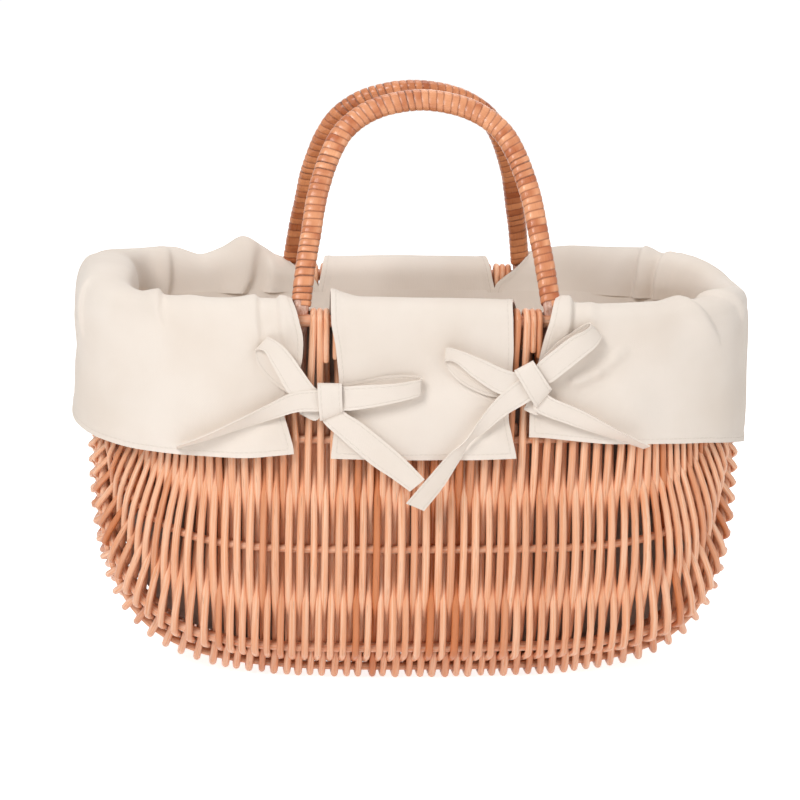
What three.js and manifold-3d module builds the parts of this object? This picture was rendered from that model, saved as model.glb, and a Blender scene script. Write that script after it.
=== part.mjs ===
// A wicker basket bag: a willow frame basket with two bound handles and a cotton liner
// whose four flaps fold out over the rim and are tied with bows.
// Millimetres, +Z up. The origin is the middle of the patch that the basket stands on.
// +X runs along the basket, -Y is its front.

import * as THREE from "three";
import { mergeVertices } from "three/addons/utils/BufferGeometryUtils.js";
import Module from "manifold-3d";

const wasm = await Module();
wasm.setup();

// Driving sizes in millimetres.

const clearance = 0.3; // left between pieces that touch
const weaveGap = 0.6; // between a rod and the rib that it is bent round
const fanGap = 1.8; // the same where rods cross the ribs aslant

// Wicker frame
const hoopHalfLength = 209; // middle of the basket to the middle of the rim rod
const hoopHalfDepth = 93;
const hoopHeight = 243.4; // floor to the middle of the rim rod
const hoopRadius = 4;
const upperRibRadius = 2.6;
const middleRibRadius = 2.6;
const lowerRibRadius = 3.1;
const baseRibRadius = 2.6;
const keelRadius = 3;

// Willow rods woven round the girth
const rodRadius = 2.4;
const thinRodRadius = 1.9; // the rods that fan out round the ends
const rodTipLength = 16; // how far a rod's end hangs down past the rim rod
const rodFootLength = 8; // the level stretch on which a rod rests under a rib

// Handles
const handleHalfSpan = 79;
const handleRise = 124; // top of the woven rim to the middle of the grip
const handleLean = 57; // how far the grip leans in from its feet
const coreRadius = 3.7;
const skeinSlack = 1.5; // the stiff skein bridges the bends of the core
const skeinThickness = 0.95; // the flat binding
const skeinGap = 1; // between one turn of binding and the next
const footThickness = 4.6; // the cut-down end that is driven into the weave
const footWidth = 5.8;
const footDepth = 70; // how far it goes down past the rim rod
const footTipWidthShare = 0.6; // what is left of the cut-down end at its tip
const footTipThicknessShare = 0.35;

// Cotton liner
const clothThickness = 2; // two layers of cotton with their hem
const linerSeam = 128; // middle of the bag to the seams between its three panels
const tuckLength = 10; // the flap's inside leg, down to its seam with the bag
const hemFlare = 3; // how far a flap's hem stands off the wicker
const foldHeight = 4; // how far a fold stands out from the flap at the hem
const middleFlap = { drop: 86, halfWidth: 57, folds: 1 }; // drop: rim rod to hem
const sideFlap = { drop: 80, folds: 4 };

// Bows
const strapWidth = 16;
const strapThickness = 1.6;
const knotWidth = 17;
const knotHeight = 25;
const knotThickness = 11;
const loopLength = 56; // middle of the knot to the tip of a loop
const loopHeight = 7; // between the two layers of a loop
const tailLength = 100; // middle of the knot to the end of a long tail
const tailLift = 4; // how far a tail's end stands off the flap

// Shape numbers without a unit.

const planFullness = 3; // exponent of the outline seen from above
const sectionFullness = 6; // exponent of the section across the basket
const leftEndFullness = 5.2; // exponents of the outline seen from the front
const rightEndFullness = 5.9;
const baseDepthShare = 0.988; // where the round side turns into the flat base

const uprightRodsPerSide = 10; // evenly spaced rods on each side of the middle
const rodsInsideHandle = 6; // how many of them stand inside the handle's foot
const hoopSteps = 10; // straight lengths in a half of the rim rod or of a rib
const ribSteps = 10;
const sharpTurn = Math.PI / 4.5; // the turn from which a rod gets two stations round a rib
const bindingTurns = 22;
const bindingSides = 8; // straight lengths in one turn, and sides of the core
const archSteps = 20;
const rodSides = 6;
const ringPoints = 20; // points round the liner's bag
const octagonCorner = Math.tan(Math.PI / 8); // half a side of an octagon, by its inner radius

// Sizes worked out from those above.

const rodDiameter = 2 * rodRadius;
const baseHeight = keelRadius + weaveGap + rodDiameter;
const wallDepth = (hoopHeight - baseHeight) / baseDepthShare;
const rimRodOffset = hoopRadius + weaveGap + rodRadius;
const rimOuterRadius = rimRodOffset + rodRadius;
const rimTop = hoopHeight + rimOuterRadius;
const rodPitch = handleHalfSpan / rodsInsideHandle;
const uprightReach = uprightRodsPerSide * rodPitch;
const foldRadius = rimOuterRadius + clearance + clothThickness / 2;
const bindingCorner = 1 / Math.cos(Math.PI / bindingSides);
const bindingInnerRadius = (coreRadius + skeinSlack) * bindingCorner;
const bindingOuterRadius = bindingInnerRadius + skeinThickness * bindingCorner;
const sideFlapEdge = handleHalfSpan + bindingOuterRadius + clearance;

// Each rib: how deep it runs at the middle and where along the rim it ends, both as shares.
const ribKinds = [
  { name: "upper_rib", depthShare: 0.32, endShare: 0.9, radius: upperRibRadius },
  { name: "middle_rib", depthShare: 0.622, endShare: 0.955, radius: middleRibRadius },
  { name: "lower_rib", depthShare: 0.908, endShare: 0.985, radius: lowerRibRadius },
  { name: "base_rib", depthShare: baseDepthShare, endShare: 0.997, radius: baseRibRadius },
];

// The rods that fan out round an end, from the last upright one to the end of the basket: how
// far along the rim and the ribs each one crosses, as shares of what is left of that line.
// A rod past a rib's end doesn't cross it.
const fanShares = [
  { rim_hoop: 0.11, upper_rib: 0.13, middle_rib: 0.13, lower_rib: 0.13, base_rib: 0.13, keel_rib: 0.12 },
  { rim_hoop: 0.24, upper_rib: 0.26, middle_rib: 0.24, lower_rib: 0.3, base_rib: 0.31, keel_rib: 0.29 },
  { rim_hoop: 0.34, upper_rib: 0.38, middle_rib: 0.42, lower_rib: 0.53, base_rib: 0.53, keel_rib: 0.48 },
  { rim_hoop: 0.42, upper_rib: 0.64, middle_rib: 0.7, lower_rib: 0.73, base_rib: 0.71, keel_rib: 0.67 },
  { rim_hoop: 0.55, middle_rib: 0.92, lower_rib: 0.9, base_rib: 0.87, keel_rib: 0.83 },
  { rim_hoop: 0.68, lower_rib: 0.95, base_rib: 0.92, keel_rib: 0.88 },
  { rim_hoop: 0.92, keel_rib: 0.955 },
];

// The arch of a handle: shares of its half span and of its rise.
const archShares = [
  [1, 0],
  [0.957, 0.198],
  [0.914, 0.347],
  [0.855, 0.545],
  [0.743, 0.743],
  [0.6, 0.872],
  [0.35, 0.963],
  [0, 1],
];

// Looks.

function material(color, roughness) {
  return new THREE.MeshStandardMaterial({ color, roughness, metalness: 0 });
}
const willow = () => material(0xd98f5f, 0.5);
const skein = () => material(0xc9784a, 0.38);
const cotton = () => material(0xe8dfd2, 0.9);

const basketBag = new THREE.Group();

function addPiece(name, geometry, finish) {
  const mesh = new THREE.Mesh(geometry, finish);
  mesh.name = name;
  basketBag.add(mesh);
}

// Geometry helpers.

const vec = (x, y, z) => new THREE.Vector3(x, y, z);

function lerpBetween(low, high, share) {
  return low + (high - low) * share;
}

function geometryOf(points, triangles) {
  const geometry = new THREE.BufferGeometry();
  const flat = points.flatMap((p) => [p.x, p.y, p.z]);
  geometry.setAttribute("position", new THREE.Float32BufferAttribute(flat, 3));
  geometry.setIndex(triangles.flat());
  geometry.computeVertexNormals();
  return geometry;
}

// A closed solid through rings of equally many points. Each ring turns anticlockwise as seen
// from the ring after it. A run that joins itself has no end faces.
function loft(rings, joinsItself = false) {
  const around = rings[0].length;
  const triangles = [];
  const spans = joinsItself ? rings.length : rings.length - 1;
  for (let i = 0; i < spans; i++) {
    const here = i * around;
    const next = ((i + 1) % rings.length) * around;
    for (let j = 0; j < around; j++) {
      const k = (j + 1) % around;
      triangles.push([here + j, here + k, next + k], [here + j, next + k, next + j]);
    }
  }
  if (!joinsItself) {
    const last = (rings.length - 1) * around;
    for (let j = 1; j < around - 1; j++) {
      triangles.push([0, j + 1, j], [last, last + j, last + j + 1]);
    }
  }
  return geometryOf(rings.flat(), triangles);
}

// A closed slab between two equal grids of points, the second lying behind the first.
function slab(front, back) {
  const rows = front.length;
  const columns = front[0].length;
  const points = [...front.flat(), ...back.flat()];
  const behind = rows * columns;
  const at = (row, column) => row * columns + column;
  const triangles = [];
  const quad = (a, b, c, d) => triangles.push([a, b, c], [a, c, d]);
  for (let r = 0; r < rows - 1; r++) {
    for (let c = 0; c < columns - 1; c++) {
      quad(at(r, c), at(r, c + 1), at(r + 1, c + 1), at(r + 1, c));
      quad(
        behind + at(r, c),
        behind + at(r + 1, c),
        behind + at(r + 1, c + 1),
        behind + at(r, c + 1),
      );
    }
  }
  for (let c = 0; c < columns - 1; c++) {
    const last = rows - 1;
    quad(at(0, c + 1), at(0, c), behind + at(0, c), behind + at(0, c + 1));
    quad(at(last, c), at(last, c + 1), behind + at(last, c + 1), behind + at(last, c));
  }
  for (let r = 0; r < rows - 1; r++) {
    const last = columns - 1;
    quad(at(r, 0), at(r + 1, 0), behind + at(r + 1, 0), behind + at(r, 0));
    quad(at(r + 1, last), at(r, last), behind + at(r, last), behind + at(r + 1, last));
  }
  return geometryOf(points, triangles);
}

// Sections for sweeps, as pairs: how far out along the station's normal, and how far across.

// A polygon round a circle or an ellipse, its first side flat against the normal.
function rodSection(sides, halfWidth, halfThickness = halfWidth) {
  const round = 1 / Math.cos(Math.PI / sides);
  return Array.from({ length: sides }, (_, i) => {
    const angle = (2 * Math.PI * (i + 0.5)) / sides;
    return [Math.cos(angle) * halfThickness * round, Math.sin(angle) * halfWidth * round];
  });
}

function strapSection(width, thickness) {
  const out = thickness / 2;
  const across = width / 2;
  return [
    [out, -across],
    [out, across],
    [-out, across],
    [-out, -across],
  ];
}

// A solid through stations, each a point with a normal. A station may have its own direction,
// and its own width and thickness as shares of the section's.
function sweep(stations, section, joinsItself = false) {
  const count = stations.length;
  const rings = stations.map((station, i) => {
    const before = joinsItself ? (i + count - 1) % count : Math.max(i - 1, 0);
    const after = joinsItself ? (i + 1) % count : Math.min(i + 1, count - 1);
    const chord = stations[after].point.clone().sub(stations[before].point);
    const along = (station.along ?? chord).clone().normalize();
    const out = station.normal.clone();
    out.addScaledVector(along, -out.dot(along)).normalize();
    const across = along.clone().cross(out);
    return section.map(([outward, sideways]) =>
      station.point
        .clone()
        .addScaledVector(out, outward * (station.thicknessShare ?? 1))
        .addScaledVector(across, sideways * (station.widthShare ?? 1)),
    );
  });
  return loft(rings, joinsItself);
}

// A closed geometry as a solid that can be joined and cut, and the way back.
function solidFrom(geometry) {
  const bare = geometry.clone();
  bare.deleteAttribute("normal");
  bare.deleteAttribute("uv");
  const merged = mergeVertices(bare);
  return new wasm.Manifold(
    new wasm.Mesh({
      numProp: 3,
      vertProperties: merged.getAttribute("position").array,
      triVerts: new Uint32Array(merged.index.array),
    }),
  );
}

function geometryFrom(solid) {
  const mesh = solid.getMesh();
  const geometry = new THREE.BufferGeometry();
  geometry.setAttribute("position", new THREE.BufferAttribute(mesh.vertProperties, 3));
  geometry.setIndex(new THREE.BufferAttribute(mesh.triVerts, 1));
  geometry.computeVertexNormals();
  return geometry;
}

// The wall: a rounded surface on whose lines the ribs lie.

const fullnessAt = (x) => (x < 0 ? leftEndFullness : rightEndFullness);

// A point of the unit rounded square, by its direction from the middle.
function roundedSquare(angle, fullness) {
  const c = Math.cos(angle);
  const s = Math.sin(angle);
  const reach = (Math.abs(c) ** fullness + Math.abs(s) ** fullness) ** (-1 / fullness);
  return [c * reach, s * reach];
}

// What is left of a half size at a share of the way to its end.
function narrowing(share, fullness) {
  return (1 - Math.min(Math.abs(share), 1) ** fullness) ** (1 / fullness);
}

// How far out the wall is at x and a depth below the rim rod.
function wallHalfDepthAt(x, depth) {
  const depthShare = depth / wallDepth;
  const reach = hoopHalfLength * narrowing(depthShare, fullnessAt(x));
  const spread = hoopHalfDepth * narrowing(depthShare, sectionFullness);
  return spread * narrowing(x / reach, planFullness);
}

// How far a point lies inside or outside the wall, as a share of the wall's size.
function wallShare(p) {
  const depthShare = (hoopHeight - p.z) / wallDepth;
  const reach = hoopHalfLength * narrowing(depthShare, fullnessAt(p.x));
  const spread = hoopHalfDepth * narrowing(depthShare, sectionFullness);
  return Math.abs(p.x / reach) ** planFullness + Math.abs(p.y / spread) ** planFullness;
}

// The wall's outward direction at a point of it.
function wallNormal(p) {
  const step = rodRadius / 100;
  const slope = (shift) =>
    wallShare(p.clone().add(shift)) - wallShare(p.clone().sub(shift));
  return vec(slope(vec(step, 0, 0)), slope(vec(0, step, 0)), slope(vec(0, 0, step))).normalize();
}

// A line along the basket that is walked by distance from its middle: minus is left.
class WallLine {
  constructor(stationAt, lastAngle, steps) {
    this.marks = [0];
    this.stations = [stationAt(0)];
    for (const side of [-1, 1]) {
      const marks = [];
      const stations = [];
      let walked = 0;
      let previous = this.stations[side < 0 ? 0 : this.stations.length - 1].point;
      for (let i = 1; i <= steps; i++) {
        const station = stationAt((side * lastAngle * i) / steps);
        walked += station.point.distanceTo(previous);
        previous = station.point;
        marks.push(side * walked);
        stations.push(station);
      }
      if (side < 0) {
        this.marks.unshift(...marks.reverse());
        this.stations.unshift(...stations.reverse());
      } else {
        this.marks.push(...marks);
        this.stations.push(...stations);
      }
    }
  }

  reach(side) {
    return Math.abs(side < 0 ? this.marks[0] : this.marks[this.marks.length - 1]);
  }

  // The point, the outward normal and the line's direction at a distance from the middle.
  at(distance) {
    const last = this.marks.length - 1;
    let i = this.marks.findIndex((mark) => mark >= distance);
    i = i < 0 ? last : Math.max(i, 1);
    const span = this.marks[i] - this.marks[i - 1];
    const share = Math.min(Math.max((distance - this.marks[i - 1]) / span, 0), 1);
    const a = this.stations[i - 1];
    const b = this.stations[i];
    return {
      point: a.point.clone().lerp(b.point, share),
      normal: a.normal.clone().lerp(b.normal, share).normalize(),
      run: b.point.clone().sub(a.point).normalize(),
    };
  }

  // How far along the line a place is, by its x.
  markAtX(x) {
    const i = Math.max(this.stations.findIndex((station) => station.point.x >= x), 1);
    const a = this.stations[i - 1].point.x;
    const b = this.stations[i].point.x;
    return lerpBetween(this.marks[i - 1], this.marks[i], (x - a) / (b - a));
  }
}

// The rim rod's middle line, on the front (-1) or the back (1).
function hoopLine(facing) {
  return new WallLine((angle) => {
    const [y, x] = roundedSquare(angle, planFullness);
    const point = vec(hoopHalfLength * x, facing * hoopHalfDepth * y, hoopHeight);
    const slopeX = Math.sign(x) * Math.abs(x) ** (planFullness - 1) / hoopHalfLength;
    const slopeY = (facing * Math.abs(y) ** (planFullness - 1)) / hoopHalfDepth;
    return { point, normal: vec(slopeX, slopeY, 0).normalize() };
  }, Math.PI / 2, hoopSteps);
}

// A rib's middle line: it runs level along the wall and rises to the rim rod at both ends.
function ribLine(kind, facing) {
  const halfLength = kind.endShare * hoopHalfLength;
  const depth = kind.depthShare * wallDepth;
  const stationAt = (angle) => {
    const [down, along] = roundedSquare(angle, fullnessAt(angle));
    const x = halfLength * along;
    const y = facing * wallHalfDepthAt(x, depth * down);
    const point = vec(x, y, hoopHeight - depth * down);
    return { point, normal: wallNormal(point) };
  };
  return new WallLine(stationAt, endAngle(stationAt), ribSteps);
}

// The keel: the rib along the middle of the base, in the plane of the handles' grip.
function keelLine() {
  const depth = baseDepthShare * wallDepth;
  const stationAt = (angle) => {
    const fullness = fullnessAt(angle);
    const [down, along] = roundedSquare(angle, fullness);
    const slopeX = (Math.sign(along) * Math.abs(along) ** (fullness - 1)) / hoopHalfLength;
    const slopeZ = -(Math.abs(down) ** (fullness - 1)) / depth;
    return {
      point: vec(hoopHalfLength * along, 0, hoopHeight - depth * down),
      normal: vec(slopeX, 0, slopeZ).normalize(),
    };
  };
  return new WallLine(stationAt, endAngle(stationAt), ribSteps);
}

// The angle at which a rising rib meets the underside of the rim rod.
function endAngle(stationAt) {
  const seat = hoopHeight - hoopRadius - clearance;
  const halvings = 40;
  let low = 0;
  let high = Math.PI / 2;
  for (let i = 0; i < halvings; i++) {
    const middle = (low + high) / 2;
    const ends = [stationAt(-middle), stationAt(middle)];
    if (Math.max(...ends.map((end) => end.point.z)) < seat) low = middle;
    else high = middle;
  }
  return low;
}

// The lines in the order in which a rod crosses them, front rim to back rim.
const frontHoop = hoopLine(-1);
const backHoop = hoopLine(1);
const frontRibs = ribKinds.map((kind) => ({ ...kind, line: ribLine(kind, -1) }));
const backRibs = ribKinds.map((kind) => ({ ...kind, line: ribLine(kind, 1) }));
const keel = { name: "keel_rib", endShare: 1, radius: keelRadius, line: keelLine() };
const ribsAcross = [...frontRibs, keel, ...[...backRibs].reverse()];

// Rim rod.

function hoopStations(line, from, to, count) {
  return Array.from({ length: count }, (_, i) => line.at(lerpBetween(from, to, i / (count - 1))));
}

function rimHoop() {
  const sides = 8;
  const front = frontHoop.stations.slice(0, -1);
  const back = [...backHoop.stations].reverse().slice(0, -1);
  return sweep([...front, ...back], rodSection(sides, hoopRadius), true);
}

// Ribs.

function ribSolid(rib) {
  return sweep(rib.line.stations, rodSection(rodSides, rib.radius));
}

// Rods. Each one hooks over the rim, passes the ribs in turn outside and inside, and hooks
// over the rim at the back. A tip side of 1 puts its tips outside the basket, -1 inside.

// A rod's stations over the rim rod, from its tip to where it runs down the wall.
function hookStations(hoop, mark, tipSide) {
  const { point, normal } = hoop.at(mark);
  const outwards = normal.clone().multiplyScalar(tipSide);
  const upwards = vec(0, 0, 1);
  const at = (out, up) => point.clone().addScaledVector(outwards, out).addScaledVector(upwards, up);
  const corner = rimRodOffset * octagonCorner;
  return [
    { point: at(rimRodOffset, -rodTipLength), normal: outwards },
    { point: at(rimRodOffset, corner), normal: outwards },
    { point: at(corner, rimRodOffset), normal: upwards },
    { point: at(-corner, rimRodOffset), normal: upwards },
    { point: at(-rimRodOffset, corner), normal: outwards.clone().negate() },
  ];
}

// Where a rod crosses each rib that it reaches. It takes turns, outside and inside, counted
// from the side on which it passes the keel.
function crossings({ markOn, keelSide, radius, gap }) {
  const reached = ribsAcross.filter(({ name, line }) => markOn(name, line) !== null);
  const middle = (reached.length - 1) / 2;
  const firstSide = middle % 2 ? -keelSide : keelSide;
  return reached.map((rib, i) => {
    const { point, normal, run } = rib.line.at(markOn(rib.name, rib.line));
    const passingSide = i % 2 ? -firstSide : firstSide;
    const away = normal.multiplyScalar(passingSide);
    const reach = rib.radius + gap + radius;
    const place = point.clone().addScaledVector(away, reach);
    const rests = rib === keel && passingSide > 0;
    return { centre: point, run, away, reach, place, rests, passingSide };
  });
}

// A rod's stations round one rib: two where it bends sharply or rests on the floor, else one.
function bendStations(crossing, before, after, tipSide) {
  const { centre, run, away, reach, rests, passingSide } = crossing;
  const arriving = crossing.place.clone().sub(before).normalize();
  const leaving = after.clone().sub(crossing.place).normalize();
  const turn = arriving.angleTo(leaving);
  const along = arriving.add(leaving).normalize();
  const out = run.clone().cross(along).normalize();
  out.multiplyScalar(Math.sign(out.dot(away)));
  const place = centre.clone().addScaledVector(out, reach);
  const halfSpan = rests ? rodFootLength / 2 : reach * Math.tan(turn / 4);
  const station = (shift) => ({
    point: place.clone().addScaledVector(along, shift),
    normal: out.clone().multiplyScalar(-tipSide * passingSide),
    along: rests ? along : undefined,
  });
  return rests || turn > sharpTurn ? [station(-halfSpan), station(halfSpan)] : [station(0)];
}

function rodStations(route) {
  const found = crossings(route);
  const tipSide = -found[0].passingSide;
  const rimMark = route.markOn("rim_hoop", frontHoop);
  const front = hookStations(frontHoop, rimMark, tipSide);
  const back = hookStations(backHoop, rimMark, tipSide).reverse();
  const stops = [front.at(-1).point, ...found.map(({ place }) => place), back[0].point];
  const bends = found.flatMap((crossing, i) =>
    bendStations(crossing, stops[i], stops[i + 2], tipSide),
  );
  return [...front, ...bends, ...back];
}

// Every rod's route from left to right: how far along a line it crosses, or null where it
// doesn't, and on which side it passes the keel.
function rodRoutes() {
  const uprightMarks = Array.from({ length: uprightRodsPerSide }, (_, i) => (i + 0.5) * rodPitch);
  return [-1, 1].flatMap((side) => {
    const upright = uprightMarks.map((mark) => ({
      radius: rodRadius,
      gap: weaveGap,
      markOn: () => side * mark,
    }));
    const fanned = fanShares.map((shares) => ({
      radius: thinRodRadius,
      gap: fanGap,
      markOn: (name, line) =>
        name in shares ? side * lerpBetween(uprightReach, line.reach(side), shares[name]) : null,
    }));
    const routes = [...upright, ...fanned].map((route, i) => ({
      ...route,
      keelSide: i % 2 ? side : -side,
    }));
    return side < 0 ? routes.reverse() : routes;
  });
}

// Handles. Each core is a bent rod whose cut-down ends are driven into the weave inside the
// rim rod; a flat skein is wound round its arch in one unbroken length.

const footOffset = hoopRadius + weaveGap + footThickness / 2;
const archBase = rimTop + bindingOuterRadius / 2;
const archRise = rimTop + handleRise - archBase;
const leanAngle = Math.atan2(handleLean, archRise);

class HandleArch {
  constructor(facing) {
    this.facing = facing;
    this.footY = facing * wallHalfDepthAt(handleHalfSpan, 0);
    this.normal = vec(0, facing * Math.cos(leanAngle), Math.sin(leanAngle));
    const half = archShares.map(([across, up]) => this.place(across, up));
    const otherHalf = archShares.slice(0, -1).map(([across, up]) => this.place(-across, up));
    const bends = [...half, ...otherHalf.reverse()];
    const curve = new THREE.CatmullRomCurve3(bends, false, "centripetal");
    const points = curve.getSpacedPoints(archSteps);
    this.stations = points.map((point, i) => {
      const chord = points[Math.min(i + 1, archSteps)].clone().sub(points[Math.max(i - 1, 0)]);
      const along = chord.normalize();
      return { point, along, normal: this.normal, side: along.clone().cross(this.normal) };
    });
    this.length = points.slice(1).reduce((sum, p, i) => sum + p.distanceTo(points[i]), 0);
  }

  // A place on the arch by its share of the half span and of the rise.
  place(acrossShare, upShare) {
    return vec(
      -acrossShare * handleHalfSpan,
      this.footY - this.facing * upShare * handleLean,
      archBase + upShare * archRise,
    );
  }

  // A place on the core's middle line, with the direction across it, by its share of the arch.
  at(share) {
    const i = Math.min(Math.floor(share * archSteps), archSteps - 1);
    const [a, b] = [this.stations[i], this.stations[i + 1]];
    const rest = share * archSteps - i;
    return { point: a.point.clone().lerp(b.point, rest), side: a.side.clone().lerp(b.side, rest) };
  }

  // The driven end on one side, from its tip up to the arch.
  footStations(side) {
    const inside = (depth, widthShare, thicknessShare) => ({
      point: vec(
        side * handleHalfSpan,
        this.facing * (wallHalfDepthAt(handleHalfSpan, Math.max(depth, 0)) - footOffset),
        hoopHeight - depth,
      ),
      normal: vec(0, this.facing, 0),
      widthShare: (widthShare * footWidth) / (2 * coreRadius),
      thicknessShare: (thicknessShare * footThickness) / (2 * coreRadius),
    });
    return [
      inside(footDepth, footTipWidthShare, footTipThicknessShare),
      inside(footDepth / 2, 1, 1),
      inside(-hoopRadius, 1, 1),
    ];
  }

  core() {
    const ends = [this.footStations(-1), this.footStations(1).reverse()];
    return sweep([...ends[0], ...this.stations, ...ends[1]], rodSection(bindingSides, coreRadius));
  }

  // The binding and its least gap to itself, measured on its points.
  binding() {
    const pitch = (this.length + skeinGap) / (bindingTurns + 1);
    const width = pitch - skeinGap;
    const corner = (distance, angle, radius) => {
      const { point, side } = this.at(Math.min(distance / this.length, 1));
      return point
        .addScaledVector(this.normal, Math.cos(angle) * radius)
        .addScaledVector(side, Math.sin(angle) * radius);
    };
    const rings = [];
    for (let i = 0; i <= bindingTurns * bindingSides; i++) {
      const low = (i / bindingSides) * pitch;
      const angle = (2 * Math.PI * (i + 0.5)) / bindingSides;
      rings.push([
        corner(low, angle, bindingOuterRadius),
        corner(low, angle, bindingInnerRadius),
        corner(low + width, angle, bindingInnerRadius),
        corner(low + width, angle, bindingOuterRadius),
      ]);
    }
    const gaps = rings.slice(bindingSides).flatMap(([outerLow, innerLow], i) => {
      const [, , innerHigh, outerHigh] = rings[i];
      return [outerHigh.distanceTo(outerLow), innerHigh.distanceTo(innerLow)];
    });
    return { geometry: loft(rings), leastGap: Math.min(...gaps) };
  }
}

// Liner. The bag hangs inside the wicker; its four flaps are sewn to its mouth and fold out
// over the rim.

const bagOuterInset = foldRadius - clothThickness / 2;
const bagInnerInset = foldRadius + clothThickness / 2;
const bagFloor = 2 * baseHeight + fanGap; // twice the base height is the top of the inner rods

function bagRing(depth, deepest, inset) {
  return Array.from({ length: ringPoints }, (_, i) => {
    const angle = (2 * Math.PI * i) / ringPoints;
    const [x, y] = roundedSquare(angle, planFullness);
    const reach = (hoopHalfLength - inset) * narrowing(depth / deepest, fullnessAt(x));
    const spread = (hoopHalfDepth - inset) * narrowing(depth / deepest, sectionFullness);
    return vec(x * reach, y * spread, hoopHeight - depth);
  });
}

function linerBag() {
  const depthShares = [0.995, 0.96, 0.86, 0.6];
  const mouthDepth = tuckLength + clearance;
  const wall = (inset) => {
    const deepest = hoopHeight - bagFloor - (inset - bagOuterInset);
    const depths = [...depthShares.map((share) => share * deepest), mouthDepth];
    return depths.map((depth) => bagRing(depth, deepest, inset));
  };
  return solidFrom(loft([...wall(bagOuterInset), ...wall(bagInnerInset).reverse()]));
}

// The stretch of the bag between two places along its length, as one sewn panel.
function linerPanel(bag, from, to) {
  const cutter = new THREE.BoxGeometry(to - from, 4 * hoopHalfDepth, 4 * hoopHeight);
  cutter.translate((from + to) / 2, 0, 0);
  return geometryFrom(bag.intersect(solidFrom(cutter)));
}

// How far out from the rim rod a flap's middle layer hangs at a depth below it. A wave of 1
// is the crest of a fold.
function flapStand(depth, drop, wave) {
  const share = Math.max(depth / drop, 0);
  return foldRadius + hemFlare * share ** 2 + foldHeight * share * wave;
}

// One face of a flap: up from its seam with the bag, over the rim and down to its hem.
function flapFace(stations, { drop, folds }, radius) {
  const dropSteps = 4;
  const corner = radius * octagonCorner;
  const overRim = [
    [-radius, -tuckLength],
    [-radius, corner],
    [-corner, radius],
    [corner, radius],
    [radius, corner],
  ];
  const point = (station, out, up) =>
    station.point.clone().addScaledVector(station.normal, out).add(vec(0, 0, up));
  const rows = overRim.map(([out, up]) => stations.map((station) => point(station, out, up)));
  for (let i = 1; i <= dropSteps; i++) {
    const depth = (drop * i) / dropSteps;
    rows.push(
      stations.map((station, j) => {
        const wave = (1 - Math.cos((2 * Math.PI * folds * j) / (stations.length - 1))) / 2;
        return point(station, flapStand(depth, drop, wave) + radius - foldRadius, -depth);
      }),
    );
  }
  return rows;
}

function flap(stations, kind) {
  const half = clothThickness / 2;
  return slab(
    flapFace(stations, kind, foldRadius + half),
    flapFace(stations, kind, foldRadius - half),
  );
}

// The flap over the front or the back of the rim, between the handle's feet.
function middleFlapSolid(line, facing) {
  const columns = 9;
  const edge = line.markAtX(middleFlap.halfWidth);
  return flap(hoopStations(line, -facing * edge, facing * edge, columns), middleFlap);
}

// The flap round one end of the basket, from one handle's foot to the other's.
function sideFlapSolid(side) {
  const along = (line) => {
    const edge = line.markAtX(side * sideFlapEdge);
    const past = line.stations.filter((_, i) => side * line.marks[i] > side * edge);
    return [line.at(edge), ...(side < 0 ? past.reverse() : past)];
  };
  const front = along(frontHoop);
  const back = along(backHoop).reverse().slice(1);
  const stations = [...front, ...back];
  return flap(side < 0 ? stations : stations.reverse(), sideFlap);
}

// Bows. Each is a knot with two loops and two tails, tied over the gap between two flaps.

// The knot lies at shares of the handle's half span and of a middle flap's drop.
const bows = [
  {
    name: "left_bow",
    knotXShare: -0.77,
    knotDropShare: 0.535,
    knotTurn: 4,
    loops: [
      { angle: 8, lengthShare: 1 },
      { angle: 140, lengthShare: 0.98 },
    ],
    tails: [
      { angle: 198, lengthShare: 1 },
      { angle: -45, lengthShare: 0.72 },
    ],
  },
  {
    name: "right_bow",
    knotXShare: 0.835,
    knotDropShare: 0.407,
    knotTurn: -28,
    loops: [
      { angle: 163, lengthShare: 1.02 },
      { angle: 41, lengthShare: 0.89 },
    ],
    tails: [
      { angle: 228, lengthShare: 1.09 },
      { angle: -30, lengthShare: 0.84 },
    ],
  },
];

// A knot's section: shares of its height, each with what is left of its width and thickness.
const knotShares = [
  [-0.5, 0.7],
  [-0.25, 1],
  [0.25, 1],
  [0.5, 0.7],
];

// A place in front of the flaps, a distance from the knot and standing off the cloth. The loops
// and tails lie on the crests of the folds, and the knot lies in the dip between two flaps.
function strapPlace(bow, angle, distance, stand, wave = 1) {
  const x = bow.knotXShare * handleHalfSpan + distance * Math.cos(angle);
  const depth = bow.knotDropShare * middleFlap.drop - distance * Math.sin(angle);
  const cloth = flapStand(depth, middleFlap.drop, wave) + clothThickness / 2 + clearance;
  const { point, normal } = frontHoop.at(frontHoop.markAtX(x));
  return vec(x, point.y + (cloth + stand) / normal.y, hoopHeight - depth);
}

function bowTail(bow, { angle, lengthShare }) {
  const steps = 4;
  const turn = THREE.MathUtils.degToRad(angle);
  const length = lengthShare * tailLength;
  const stations = Array.from({ length: steps + 1 }, (_, i) => ({
    point: strapPlace(bow, turn, (length * i) / steps, strapThickness / 2 + (tailLift * i) / steps),
    normal: vec(0, -1, 0),
  }));
  return sweep(stations, strapSection(strapWidth, strapThickness));
}

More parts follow.
